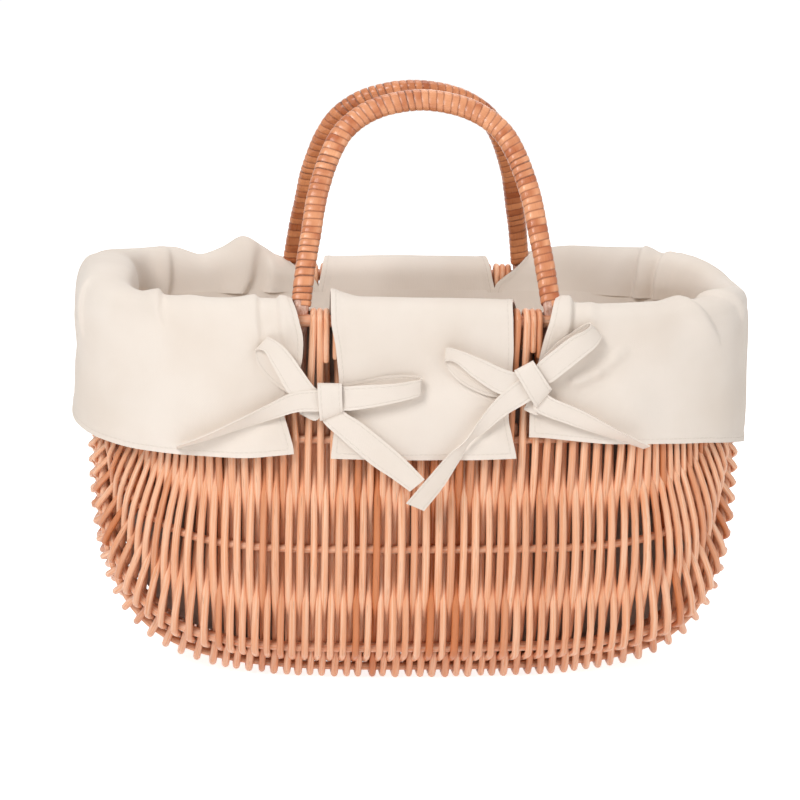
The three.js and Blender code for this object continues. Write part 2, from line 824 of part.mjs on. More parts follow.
function bowLoop(bow, { angle, lengthShare }) {
  const steps = 8;
  const turn = THREE.MathUtils.degToRad(angle);
  const halfLength = (lengthShare * loopLength - strapThickness / 2) / 2;
  const halfFullness = loopHeight / 2;
  const stations = Array.from({ length: steps + 1 }, (_, i) => {
    const round = Math.PI * ((2 * i) / steps - 1);
    const distance = halfLength * (1 + Math.cos(round));
    const stand = halfFullness * (1 + Math.sin(round)) + strapThickness / 2;
    const outwards = vec(Math.cos(turn), 0, Math.sin(turn));
    outwards.multiplyScalar(Math.cos(round) / halfLength);
    outwards.y = -Math.sin(round) / halfFullness;
    return { point: strapPlace(bow, turn, distance, stand), normal: outwards };
  });
  return sweep(stations, strapSection(strapWidth, strapThickness));
}

function bowKnot(bow) {
  const sides = 8;
  const turn = THREE.MathUtils.degToRad(bow.knotTurn + 90);
  const stations = knotShares.map(([heightShare, sizeShare]) => ({
    point: strapPlace(bow, turn, heightShare * knotHeight, knotThickness / 2, 0),
    normal: vec(0, -1, 0),
    widthShare: sizeShare,
    thicknessShare: sizeShare,
  }));
  return sweep(stations, rodSection(sides, knotWidth / 2, knotThickness / 2));
}

function bowSolid(bow) {
  const loops = bow.loops.map((loop) => bowLoop(bow, loop));
  const tails = bow.tails.map((tail) => bowTail(bow, tail));
  const straps = [bowKnot(bow), ...loops, ...tails].map(solidFrom);
  return geometryFrom(straps.reduce((all, strap) => all.add(strap)));
}

// Assembly.

addPiece("rim_hoop", rimHoop(), willow());

frontRibs.forEach((rib) => addPiece(`front_${rib.name}`, ribSolid(rib), willow()));
addPiece(keel.name, ribSolid(keel), willow());
backRibs.forEach((rib) => addPiece(`back_${rib.name}`, ribSolid(rib), willow()));

rodRoutes().forEach((route, i) => {
  const number = String(i + 1).padStart(2, "0");
  const solid = sweep(rodStations(route), rodSection(rodSides, route.radius));
  addPiece(`weaver_rod_${number}`, solid, willow());
});

for (const [place, facing] of [
  ["front", -1],
  ["back", 1],
]) {
  const arch = new HandleArch(facing);
  addPiece(`${place}_handle_core`, arch.core(), willow());
  const { geometry, leastGap } = arch.binding();
  addPiece(`${place}_handle_binding`, geometry, skein());
  console.log(`${place} binding: least gap to itself ${leastGap.toFixed(2)} mm`);
}

const bag = linerBag();
const seam = linerSeam - clearance / 2;
addPiece("liner_left_end", linerPanel(bag, -hoopHalfLength, -seam - clearance), cotton());
addPiece("liner_middle", linerPanel(bag, -seam, seam), cotton());
addPiece("liner_right_end", linerPanel(bag, seam + clearance, hoopHalfLength), cotton());
addPiece("front_flap", middleFlapSolid(frontHoop, -1), cotton());
addPiece("back_flap", middleFlapSolid(backHoop, 1), cotton());
addPiece("left_flap", sideFlapSolid(-1), cotton());
addPiece("right_flap", sideFlapSolid(1), cotton());

for (const bow of bows) {
  addPiece(`front_${bow.name}`, bowSolid(bow), cotton());
  const turned = bowSolid(bow).rotateZ(Math.PI);
  addPiece(`back_${bow.name}`, turned, cotton());
}

export default basketBag;
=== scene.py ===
"""The looks of a wicker basket bag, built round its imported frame.

Willow rods are woven round the girth of a rim and nine lengthwise ribs. Two arched handles are
bound with skein. A cotton liner hangs inside, and its four flaps fold out over the rim and are
tied with bows. Everything is in metres, +X along the basket and -Y its front.
"""

import logging
import math
import random
from bisect import bisect_left
from dataclasses import dataclass, field
from enum import Enum, IntEnum
from typing import Callable, ClassVar, Optional, Sequence

import bpy
from mathutils import Matrix, Vector, noise

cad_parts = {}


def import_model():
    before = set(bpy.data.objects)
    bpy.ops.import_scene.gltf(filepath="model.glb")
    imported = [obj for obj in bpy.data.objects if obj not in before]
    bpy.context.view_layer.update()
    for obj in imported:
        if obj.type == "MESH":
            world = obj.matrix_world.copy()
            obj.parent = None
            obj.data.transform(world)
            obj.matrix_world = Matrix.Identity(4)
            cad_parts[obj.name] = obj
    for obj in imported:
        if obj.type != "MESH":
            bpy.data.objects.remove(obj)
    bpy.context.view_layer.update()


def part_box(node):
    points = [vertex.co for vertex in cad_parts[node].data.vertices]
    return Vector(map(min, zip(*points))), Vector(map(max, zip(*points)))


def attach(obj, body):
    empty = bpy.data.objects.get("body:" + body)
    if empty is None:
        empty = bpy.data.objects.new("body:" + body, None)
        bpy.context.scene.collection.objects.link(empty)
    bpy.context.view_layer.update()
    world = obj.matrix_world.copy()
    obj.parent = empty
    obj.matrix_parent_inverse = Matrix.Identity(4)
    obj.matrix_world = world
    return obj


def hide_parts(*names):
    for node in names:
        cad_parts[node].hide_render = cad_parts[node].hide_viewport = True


LOG = logging.getLogger("basket")
MM = 0.001
UP = Vector((0, 0, 1))
BODY = "root"
SEED = 20261128

# How long the handles of a quarter circle are, as a share of its radius.
QUARTER_HANDLE = 0.5523

Point = tuple[float, float]
Triple = tuple[float, float, float]
Colour = tuple[int, int, int]
Place = Callable[[float, float], Vector]


class Side(IntEnum):
    """A side of the basket, as a sign."""

    @property
    def word(self) -> str:
        """The side's word in a piece's name."""
        return self.name.lower()


class Facing(Side):
    """The front or the back of the basket, as the sign of its Y."""

    FRONT = -1
    BACK = 1


class End(Side):
    """The left or the right end of the basket, as the sign of its X."""

    LEFT = -1
    RIGHT = 1


class Slot(Enum):
    """The record's material slots."""

    WILLOW = "willow"
    SKEIN = "skein"
    COTTON = "cotton"


# Small helpers for numbers and lines.


def mix(low: float, high: float, share: float) -> float:
    """Returns the number at a share of the way from low to high."""
    return low + (high - low) * share


def clamp(value: float, low: float, high: float) -> float:
    """Returns value, kept between low and high."""
    return max(low, min(high, value))


def soft_step(low: float, high: float, value: float) -> float:
    """Returns 0 below low, 1 above high and an S-curve between them."""
    share = clamp((value - low) / (high - low), 0, 1)
    return share * share * (3 - 2 * share)


def read_off(table: Sequence[Point], at: float) -> float:
    """Reads a table of pairs, sorted by the first, with straight lines between them.

    Args:
        table: The pairs.
        at: The place to read at; outside the table the nearest end holds.

    Returns:
        The second number of the pair there.
    """
    if at <= table[0][0]:
        return table[0][1]
    for (low, first), (high, second) in zip(table, table[1:]):
        if at <= high:
            return mix(first, second, (at - low) / (high - low))
    return table[-1][1]


def read_smooth(table: Sequence[Point], at: float, reach: float) -> float:
    """Reads a table as read_off does, averaged over a reach to round its corners."""
    shifts = (-1.0, -0.5, 0.0, 0.5, 1.0)
    return sum(read_off(table, at + shift * reach) for shift in shifts) / len(shifts)


def curve_through(places: Sequence[Vector], steps: int) -> list[Vector]:
    """Returns points on a smooth curve through places, with steps points a span.

    Args:
        places: The places, in order.
        steps: The points of one span.

    Returns:
        The points.
    """
    ends = [2 * places[0] - places[1], *places, 2 * places[-1] - places[-2]]
    points = []
    for a, b, c, d in zip(ends, ends[1:], ends[2:], ends[3:]):
        for i in range(steps):
            t = i / steps
            points.append(
                0.5
                * (
                    2 * b
                    + (c - a) * t
                    + (2 * a - 5 * b + 4 * c - d) * t * t
                    + (3 * b - a - 3 * c + d) * t**3
                )
            )
    points.append(places[-1].copy())
    return points


@dataclass(frozen=True)
class Station:
    """A point of a line on the wall, with the wall's normal and the line's direction."""

    point: Vector
    normal: Vector
    run: Vector


@dataclass
class Line:
    """A line that is walked by distance from its middle: minus is left."""

    points: list[Vector]
    normals: list[Vector]
    marks: list[float]

    half_steps: ClassVar[int] = 160

    @classmethod
    def walk(cls, station_at: Callable[[float], tuple[Vector, Vector]], last: float) -> "Line":
        """Lays a line out on both sides of its middle.

        Args:
            station_at: Gives the point and the normal at an angle.
            last: The angle at the line's ends.

        Returns:
            The line.
        """
        steps = cls.half_steps
        places = [station_at(last * i / steps) for i in range(-steps, steps + 1)]
        points = [point for point, _ in places]
        marks = [0.0]
        for a, b in zip(points, points[1:]):
            marks.append(marks[-1] + (b - a).length)
        middle = marks[steps]
        return cls(points, [normal for _, normal in places], [mark - middle for mark in marks])

    def reach(self, side: End) -> float:
        """Returns how far the line goes from its middle on a side."""
        return abs(self.marks[0] if side is End.LEFT else self.marks[-1])

    def at(self, distance: float) -> Station:
        """Returns the station at a distance from the middle.

        Args:
            distance: The distance.

        Returns:
            The station.
        """
        i = int(clamp(bisect_left(self.marks, distance), 1, len(self.marks) - 1))
        span = self.marks[i] - self.marks[i - 1]
        share = clamp((distance - self.marks[i - 1]) / span, 0, 1)
        a, b = self.points[i - 1], self.points[i]
        normal = self.normals[i - 1].lerp(self.normals[i], share).normalized()
        return Station(a.lerp(b, share), normal, (b - a).normalized())

    def mark_at_x(self, x: float) -> float:
        """Returns how far along the line an x is.

        Args:
            x: The x.

        Returns:
            The distance from the middle.
        """
        places = [point.x for point in self.points]
        i = int(clamp(bisect_left(places, x), 1, len(places) - 1))
        share = clamp((x - places[i - 1]) / (places[i] - places[i - 1]), 0, 1)
        return mix(self.marks[i - 1], self.marks[i], share)


@dataclass(frozen=True)
class Wall:
    """The rounded surface on which the ribs lie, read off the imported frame.

    The fullness numbers are the exponents of the outlines seen from above, across the basket,
    and from the front at each end.
    """

    half_length: float
    half_depth: float
    hoop_height: float
    hoop_radius: float
    base_height: float
    plan_fullness: float = 3.0
    section_fullness: float = 6.0
    left_fullness: float = 5.2
    right_fullness: float = 5.9
    base_share: float = 0.988

    @classmethod
    def of_frame(cls) -> "Wall":
        """Measures the rim rod and the keel of the frame."""
        low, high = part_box("rim_hoop")
        radius = (high.z - low.z) / 2
        keel_low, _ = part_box("keel_rib")
        return cls(
            half_length=high.x - radius,
            half_depth=high.y - radius,
            hoop_height=(low.z + high.z) / 2,
            hoop_radius=radius,
            base_height=keel_low.z + KEEL_RADIUS,
        )

    @property
    def depth(self) -> float:
        """The depth at which the wall would close."""
        return (self.hoop_height - self.base_height) / self.base_share

    def fullness(self, x: float) -> float:
        """Returns the exponent of the end on the side of x."""
        return self.left_fullness if x < 0 else self.right_fullness

    @staticmethod
    def rounded_square(angle: float, fullness: float) -> Point:
        """Returns a point of the unit rounded square by its direction.

        Args:
            angle: The direction.
            fullness: The exponent.

        Returns:
            Its two shares.
        """
        c, s = math.cos(angle), math.sin(angle)
        reach = (abs(c) ** fullness + abs(s) ** fullness) ** (-1 / fullness)
        return c * reach, s * reach

    @staticmethod
    def narrowing(share: float, fullness: float) -> float:
        """Returns what is left of a half size at a share of the way to its end."""
        return (1 - min(abs(share), 1) ** fullness) ** (1 / fullness)

    def half_depth_at(self, x: float, depth: float) -> float:
        """Returns how far out the wall is at x and a depth below the rim rod.

        Args:
            x: Along the basket.
            depth: Below the rim rod.

        Returns:
            The half depth.
        """
        share = depth / self.depth
        reach = self.half_length * self.narrowing(share, self.fullness(x))
        spread = self.half_depth * self.narrowing(share, self.section_fullness)
        return spread * self.narrowing(x / reach, self.plan_fullness)

    def share(self, p: Vector) -> float:
        """Returns how far out a point is, as a share of the wall's size.

        Args:
            p: The point.

        Returns:
            The share: 1 on the wall.
        """
        depth_share = (self.hoop_height - p.z) / self.depth
        reach = self.half_length * self.narrowing(depth_share, self.fullness(p.x))
        spread = self.half_depth * self.narrowing(depth_share, self.section_fullness)
        return abs(p.x / reach) ** self.plan_fullness + abs(p.y / spread) ** self.plan_fullness

    def normal(self, p: Vector) -> Vector:
        """Returns the wall's outward direction at a point of it.

        Args:
            p: The point.

        Returns:
            The direction.
        """
        step = 0.02 * MM
        shifts = (Vector((step, 0, 0)), Vector((0, step, 0)), Vector((0, 0, step)))
        slopes = [self.share(p + shift) - self.share(p - shift) for shift in shifts]
        return Vector(slopes).normalized()

    def hoop(self, facing: Facing) -> Line:
        """Returns the middle line of the rim rod on one side.

        Args:
            facing: The side.

        Returns:
            The line.
        """

        def station(angle: float) -> tuple[Vector, Vector]:
            """Returns the rim rod's point and normal at an angle from its middle."""
            y, x = self.rounded_square(angle, self.plan_fullness)
            point = Vector((self.half_length * x, facing * self.half_depth * y, self.hoop_height))
            power = self.plan_fullness - 1
            slope_x = math.copysign(abs(x) ** power, x) / self.half_length
            slope_y = facing * abs(y) ** power / self.half_depth
            return point, Vector((slope_x, slope_y, 0)).normalized()

        return Line.walk(station, math.pi / 2)

    def rib(self, depth_share: float, end_share: float, facing: Optional[Facing]) -> Line:
        """Returns a rib's middle line.

        Args:
            depth_share: How deep it runs at the middle, as a share of the wall's depth.
            end_share: Where along the rim it ends, as a share of the half length.
            facing: The front or the back, or nothing for the keel.

        Returns:
            The line, level along the wall and rising to the rim rod at both ends.
        """
        half_length = end_share * self.half_length
        depth = depth_share * self.depth

        def station(angle: float) -> tuple[Vector, Vector]:
            """Returns the rib's point and normal at an angle from its middle."""
            fullness = self.fullness(angle)
            down, along = self.rounded_square(angle, fullness)
            x = half_length * along
            point = Vector((x, 0, self.hoop_height - depth * down))
            if facing:
                point.y = facing * self.half_depth_at(x, depth * down)
                return point, self.normal(point)
            power = fullness - 1
            slope_x = math.copysign(abs(along) ** power, along) / self.half_length
            return point, Vector((slope_x, 0, -abs(down) ** power / depth)).normalized()

        return Line.walk(station, self.end_angle(station))

    def end_angle(self, station: Callable[[float], tuple[Vector, Vector]]) -> float:
        """Returns the angle at which a rising rib meets the underside of the rim rod.

        Args:
            station: Gives the point and the normal at an angle.

        Returns:
            The angle.
        """
        seat = self.hoop_height - self.hoop_radius
        low, high = 0.0, math.pi / 2
        halvings = 40
        for _ in range(halvings):
            middle = (low + high) / 2
            if max(station(side * middle)[0].z for side in End) < seat:
                low = middle
            else:
                high = middle
        return low


# Making meshes.


def select_only(piece: bpy.types.Object) -> None:
    """Selects one object alone and makes it the active one.

    Args:
        piece: The object.
    """
    bpy.ops.object.select_all(action="DESELECT")
    piece.select_set(True)
    bpy.context.view_layer.objects.active = piece


def apply_modifier(piece: bpy.types.Object, name: str) -> None:
    """Applies one modifier of a piece."""
    select_only(piece)
    bpy.ops.object.modifier_apply(modifier=name)


def tidy_mesh(piece: bpy.types.Object, merge: float, angle: float = 40) -> None:
    """Merges doubles, turns the faces outwards and smooths up to an angle in degrees.

    Args:
        piece: The piece.
        merge: How near doubles lie.
        angle: The sharpest smooth angle.
    """
    select_only(piece)
    bpy.ops.object.mode_set(mode="EDIT")
    bpy.ops.mesh.select_all(action="SELECT")
    bpy.ops.mesh.remove_doubles(threshold=merge)
    bpy.ops.mesh.normals_make_consistent(inside=False)
    bpy.ops.object.mode_set(mode="OBJECT")
    bpy.ops.object.shade_smooth_by_angle(angle=math.radians(angle))


def set_attribute(piece: bpy.types.Object, name: str, values: Sequence[float]) -> None:
    """Stores one number a vertex on a piece's mesh."""
    attribute = piece.data.attributes.new(name, "FLOAT", "POINT")
    attribute.data.foreach_set("value", list(values))


def dress(piece: bpy.types.Object, material: bpy.types.Material, slot: Slot) -> None:
    """Gives a piece its material and lets it ride on the body.

    Args:
        piece: The piece.
        material: Its material.
        slot: Its slot; not used.
    """
    piece.data.materials.clear()
    piece.data.materials.append(material)
    let_ride(piece, slot)


def let_ride(piece: bpy.types.Object, slot: Slot) -> None:
    """Lets a piece ride on the body."""
    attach(piece, BODY)


def report(piece: bpy.types.Object, area: float = 0.0) -> None:
    """Logs a finished piece's name, its faces and the area of its cloth."""
    LOG.info("%s: %d faces, %.4f m2 of cloth", piece.name, len(piece.data.polygons), area)


def line_both_sides(
    piece: bpy.types.Object, face: bpy.types.Material, back: bpy.types.Material
) -> None:
    """Gives a sheet that isn't thick yet one material on its face and one on its back.

    Args:
        piece: The sheet.
        face: The face's material.
        back: The back's material.
    """
    piece.data.materials.clear()
    piece.data.materials.append(face)
    piece.data.materials.append(back)


@dataclass(frozen=True)
class Bend:
    """A place on a bent rod: its point, its handles and its share of the rod's radius."""

    point: Vector
    before: Vector
    after: Vector
    share: float = 1.0


def bends_along(points: Sequence[Vector], closed: bool = False) -> list[Bend]:
    """Returns the bends of a smooth rod through points.

    Args:
        points: The points.
        closed: Whether the rod joins itself.

    Returns:
        The bends.
    """
    count = len(points)
    bends = []
    for i, point in enumerate(points):
        last = points[i - 1] if i or closed else point
        following = points[(i + 1) % count] if i < count - 1 or closed else point
        run = (following - last).normalized()
        before = (point - last).length / 3
        after = (following - point).length / 3
        bends.append(Bend(point, point - run * before, point + run * after))
    return bends


def bent_rod(
    name: str,
    bends: Sequence[Bend],
    radius: float,
    roundness: int = 3,
    steps: int = 5,
    closed: bool = False,
) -> bpy.types.Object:
    """Bends a round rod and makes it a mesh.

    Args:
        name: The piece's name.
        bends: The places along the rod.
        radius: The rod's radius.
        roundness: Blender's bevel resolution: 3 gives ten sides.
        steps: Straight lengths from one bend to the next.
        closed: Whether the rod joins itself.

    Returns:
        The rod. Its UV map runs along and round it.
    """
    bpy.ops.object.select_all(action="DESELECT")
    bpy.ops.curve.primitive_bezier_curve_add()
    rod = bpy.context.object
    rod.name = name
    rod.data.name = name
    spline = rod.data.splines[0]
    spline.bezier_points.add(len(bends) - len(spline.bezier_points))
    for handle, bend in zip(spline.bezier_points, bends):
        handle.handle_left_type = "FREE"
        handle.handle_right_type = "FREE"
        handle.co = bend.point
        handle.handle_left = bend.before
        handle.handle_right = bend.after
        handle.radius = bend.share
    spline.use_cyclic_u = closed
    rod.data.dimensions = "3D"
    rod.data.resolution_u = steps
    rod.data.bevel_depth = radius
    rod.data.bevel_resolution = roundness
    rod.data.use_fill_caps = not closed
    bpy.ops.object.convert(target="MESH")
    rod = bpy.context.object
    tidy_mesh(rod, 0.01 * MM, 50)
    return rod


def shaped_grid(name: str, columns: int, rows: int, place: Place, size: Point) -> bpy.types.Object:
    """Adds a grid and moves each point of it to its place.

    Args:
        name: The piece's name.
        columns: Faces along the first direction.
        rows: Faces along the second.
        place: Gives the place of a point by its two shares.
        size: The flat size, which the UV map keeps in metres.

    Returns:
        The grid.
    """
    bpy.ops.object.select_all(action="DESELECT")
    bpy.ops.mesh.primitive_grid_add(x_subdivisions=columns, y_subdivisions=rows, size=2)
    grid = bpy.context.object
    grid.name = name
    grid.data.name = name
    for vertex in grid.data.vertices:
        vertex.co = place((vertex.co.x + 1) / 2, (vertex.co.y + 1) / 2)
    for corner in grid.data.uv_layers[0].data:
        corner.uv = (corner.uv[0] * size[0], corner.uv[1] * size[1])
    return grid


def grid_shares(piece: bpy.types.Object, size: Point) -> list[Point]:
    """Returns each vertex's two shares, read back from the UV map.

    Args:
        piece: The grid.
        size: Its flat size.

    Returns:
        The shares, by vertex.
    """
    shares: list[Point] = [(0.0, 0.0)] * len(piece.data.vertices)
    layer = piece.data.uv_layers[0].data
    for loop in piece.data.loops:
        uv = layer[loop.index].uv
        shares[loop.vertex_index] = (uv[0] / size[0], uv[1] / size[1])
    return shares


def thicken(piece: bpy.types.Object, thickness: float, hem: str = "") -> None:
    """Gives a sheet its thickness, half of it on each side.

    Args:
        piece: The sheet. Where it has two materials, the second goes on its back.
        thickness: The thickness.
        hem: The vertex group that scales the thickness, if there is one.
    """
    modifier = piece.modifiers.new("Solidify", "SOLIDIFY")
    modifier.thickness = thickness
    modifier.offset = 0
    modifier.use_even_offset = False
    modifier.vertex_group = hem
    modifier.material_offset = 1
    apply_modifier(piece, modifier.name)
    piece.vertex_groups.clear()


def face_towards(piece: bpy.types.Object, outwards: Callable[[Vector], Vector]) -> None:
    """Turns a sheet over if most of its faces look the other way.

    Args:
        piece: The sheet.
        outwards: Gives the direction in which a face should look, by its middle.
    """
    faces = piece.data.polygons
    total = sum(face.area * face.normal.dot(outwards(face.center)) for face in faces)
    if total < 0:
        piece.data.flip_normals()


def flat_area(piece: bpy.types.Object) -> float:
    """Returns the area of a sheet before it has a thickness."""
    return sum(face.area for face in piece.data.polygons)


# Finishes.


def paint(red: int, green: int, blue: int) -> tuple[float, float, float, float]:
    """Returns a screen colour as Blender's linear one.

    Args:
        red: Red, up to 255.
        green: Green.
        blue: Blue.

    Returns:
        The colour with its alpha.
    """

    def linear(value: int) -> float:
        """Returns a screen value as a linear share."""
        share = value / 255
        return share / 12.92 if share <= 0.04045 else ((share + 0.055) / 1.055) ** 2.4

    return linear(red), linear(green), linear(blue), 1.0


class Nodes:
    """A small helper that adds nodes to a material and links them."""

    def __init__(self, name: str) -> None:
        """Makes a material with only its shader and its output.

        Args:
            name: The material's name.
        """
        self.material = bpy.data.materials.new(name)
        self.material.use_nodes = True
        self.tree = self.material.node_tree
        self.shader = self.tree.nodes["Principled BSDF"]

    def add(self, kind: str, **settings: object) -> bpy.types.Node:
        """Adds a node and sets its properties.

        Args:
            kind: The node's type.
            settings: Its properties.

        Returns:
            The node.
        """
        node = self.tree.nodes.new(kind)
        for key, value in settings.items():
            setattr(node, key, value)
        return node

    def link(self, source: bpy.types.NodeSocket, target: bpy.types.NodeSocket) -> None:
        """Links two sockets."""
        self.tree.links.new(source, target)

    def feed(self, socket: bpy.types.NodeSocket, value: object) -> None:
        """Links a socket to a socket, or sets it to a plain value.

        Args:
            socket: The socket.
            value: A socket or a value.
        """
        if isinstance(value, bpy.types.NodeSocket):
            self.link(value, socket)
        else:
            socket.default_value = value

    def uv(self) -> bpy.types.NodeSocket:
        """Returns the piece's own UV map."""
        return self.add("ShaderNodeUVMap").outputs["UV"]

    def split(self, vector: bpy.types.NodeSocket) -> bpy.types.Node:
        """Returns a node with a vector's three numbers.

        Args:
            vector: The vector.

        Returns:
            The node.
        """
        node = self.add("ShaderNodeSeparateXYZ")
        self.link(vector, node.inputs[0])
        return node

    def stretched(self, vector: bpy.types.NodeSocket, scale: Triple) -> bpy.types.NodeSocket:
        """Returns a vector that is scaled along its three directions.

        Args:
            vector: The vector.
            scale: The three scales.

        Returns:
            The scaled vector.
        """
        node = self.add("ShaderNodeMapping")
        self.link(vector, node.inputs["Vector"])
        node.inputs["Scale"].default_value = scale
        return node.outputs[0]

    def math(self, operation: str, first: object, second: object = 0.0) -> bpy.types.NodeSocket:
        """Returns the result of a sum on two numbers or sockets.

        Args:
            operation: The sum.
            first: A value.
            second: A value.

        Returns:
            The result.
        """
        node = self.add("ShaderNodeMath", operation=operation)
        self.feed(node.inputs[0], first)
        self.feed(node.inputs[1], second)
        return node.outputs[0]

    def ramp(self, value: object, low: float, high: float) -> bpy.types.NodeSocket:
        """Returns 0 where a value is below low, 1 above high and a smooth step between.

        Args:
            value: The value.
            low: Where it is 0.
            high: Where it is 1.

        Returns:
            The result.
        """
        node = self.add("ShaderNodeMapRange", interpolation_type="SMOOTHSTEP")
        self.feed(node.inputs["Value"], value)
        node.inputs["From Min"].default_value = low
        node.inputs["From Max"].default_value = high
        return node.outputs["Result"]

    def noise(self, vector: object, scale: float, detail: float = 3.0) -> bpy.types.NodeSocket:
        """Returns a noise between 0 and 1.

        Args:
            vector: The place.
            scale: Its scale.
            detail: Its layers.

        Returns:
            The noise.
        """
        node = self.add("ShaderNodeTexNoise")
        self.link(vector, node.inputs["Vector"])
        node.inputs["Scale"].default_value = scale
        node.inputs["Detail"].default_value = detail
        return node.outputs["Fac"]

    def blend(self, share: object, first: object, second: object) -> bpy.types.NodeSocket:
        """Returns the mix of two colours.

        Args:
            share: The share of the second.
            first: A colour.
            second: A colour.

        Returns:
            The mix.
        """
        node = self.add("ShaderNodeMix", data_type="RGBA")
        self.feed(node.inputs["Factor"], share)
        self.feed(node.inputs["A"], first)
        self.feed(node.inputs["B"], second)
        return node.outputs["Result"]

    def attribute(self, name: str) -> bpy.types.NodeSocket:
        """Returns a number stored on the mesh."""
        return self.add("ShaderNodeAttribute", attribute_name=name).outputs["Fac"]

    def bump(self, height: object, distance: float, strength: float = 1.0) -> None:
        """Gives the shader a bump.

        Args:
            height: The height.
            distance: The height of 1.
            strength: How strong it is.
        """
        node = self.add("ShaderNodeBump")
        node.inputs["Distance"].default_value = distance
        node.inputs["Strength"].default_value = strength
        self.link(height, node.inputs["Height"])
        self.link(node.outputs["Normal"], self.shader.inputs["Normal"])

    def finish(self, color: object, roughness: object) -> None:
        """Sets the shader's colour and roughness."""
        self.feed(self.shader.inputs["Base Color"], color)
        self.feed(self.shader.inputs["Roughness"], roughness)


@dataclass(frozen=True)
class PeeledWillow:
    """Buff willow: streaks along the rod, a tone of its own for each rod, and small specks."""

    name: str = "peeled_willow"
    light: Colour = (248, 201, 168)
    middle: Colour = (238, 168, 124)
    dark: Colour = (206, 124, 74)
    speck: Colour = (112, 60, 34)
    along_scale: float = 26.0
    round_scale: float = 2.2
    grain_scale: Triple = (0.12, 2.6, 2.6)
    speck_scale: float = 1.3
    apart: float = 90.0
    roughness: float = 0.36

    def make(self) -> bpy.types.Material:
        """Returns the material, which reads the UV map and the tone of a rod."""
        n = Nodes(self.name)
        split = n.split(n.uv())
        tone = n.attribute("tone")
        turn = n.math("MULTIPLY", split.outputs["Y"], 2 * math.pi)
        across = n.math("MULTIPLY", n.math("COSINE", turn), self.round_scale)
        height = n.math("MULTIPLY", n.math("SINE", turn), self.round_scale)
        along = n.math("MULTIPLY", split.outputs["X"], self.along_scale)
        along = n.math("ADD", along, n.math("MULTIPLY", tone, self.apart))
        where = n.add("ShaderNodeCombineXYZ")
        n.link(along, where.inputs[0])
        n.link(across, where.inputs[1])
        n.link(height, where.inputs[2])
        vector = where.outputs[0]
        streaks = n.noise(vector, 1.0, 4.0)
        grain = n.noise(n.stretched(vector, self.grain_scale), 1.4, 4.0)
        color = n.blend(n.ramp(streaks, 0.34, 0.66), paint(*self.middle), paint(*self.light))
        color = n.blend(n.ramp(tone, 0.35, 1.0), color, paint(*self.dark))
        darker = n.math("MULTIPLY", n.ramp(grain, 0.52, 0.72), 0.45)
        color = n.blend(darker, color, paint(*self.dark))
        dots = n.add("ShaderNodeTexVoronoi")
        n.link(vector, dots.inputs["Vector"])
        dots.inputs["Scale"].default_value = self.speck_scale
        dot = n.math("SUBTRACT", 1.0, n.ramp(dots.outputs["Distance"], 0.07, 0.15))
        color = n.blend(n.math("MULTIPLY", dot, 0.75), color, paint(*self.speck))
        rough = n.math("ADD", n.math("MULTIPLY", grain, 0.22), self.roughness - 0.11)
        n.finish(color, rough)
        n.bump(grain, 0.25 * MM, 0.5)
        return n.material


@dataclass(frozen=True)
class BindingSkein:
    """The split willow of the handles: darker, glossier, with fine grain along each turn, and painted
    shade darkening the edges of each turn where it meets the next.
    """

    name: str
    light: Colour
    dark: Colour
    # The colour of the painted shade at the edges of each turn.
    brink: Colour = (128, 62, 32)
    grain_scale: Triple = (60.0, 1500.0, 1.0)
    roughness: float = 0.28

    def make(self) -> bpy.types.Material:
        """Returns the material, which reads the UV map in metres and the tone."""
        n = Nodes(self.name)
        uv = n.uv()
        grain = n.noise(n.stretched(uv, self.grain_scale), 1.0, 4.0)
        patches = n.noise(uv, 55.0, 3.0)
        tone = n.attribute("tone")
        share = n.math("ADD", n.math("MULTIPLY", n.ramp(patches, 0.3, 0.7), 0.55), tone)
        color = n.blend(n.math("MINIMUM", share, 1.0), paint(*self.light), paint(*self.dark))
        color = n.blend(n.math("MULTIPLY", n.ramp(grain, 0.5, 0.8), 0.35), color, paint(*self.dark))
        # Painted shade: towards the edges of each turn the colour darkens to a deep brown, for the
        # shade in the notches between turns.
        brink = n.math("MULTIPLY", n.ramp(n.attribute("brink"), 0.62, 1.0), 0.6)
        color = n.blend(brink, color, paint(*self.brink))
        n.finish(color, n.math("ADD", n.math("MULTIPLY", grain, 0.25), self.roughness - 0.1))
        n.bump(grain, 0.15 * MM, 0.5)
        return n.material


@dataclass(frozen=True)
class CutWood:
    """The pale face of a slanted cut."""

    name: str = "cut_willow"
    light: Colour = (236, 200, 182)
    dark: Colour = (205, 150, 124)
    grain_scale: Triple = (900.0, 900.0, 90.0)
    roughness: float = 0.6

    def make(self) -> bpy.types.Material:
        """Returns the material, with grain along Z."""
        n = Nodes(self.name)
        coordinates = n.add("ShaderNodeTexCoord").outputs["Object"]
        grain = n.noise(n.stretched(coordinates, self.grain_scale), 1.0, 3.0)
        color = n.blend(n.ramp(grain, 0.35, 0.7), paint(*self.light), paint(*self.dark))
        n.finish(color, self.roughness)
        n.bump(grain, 0.15 * MM, 0.6)
        return n.material


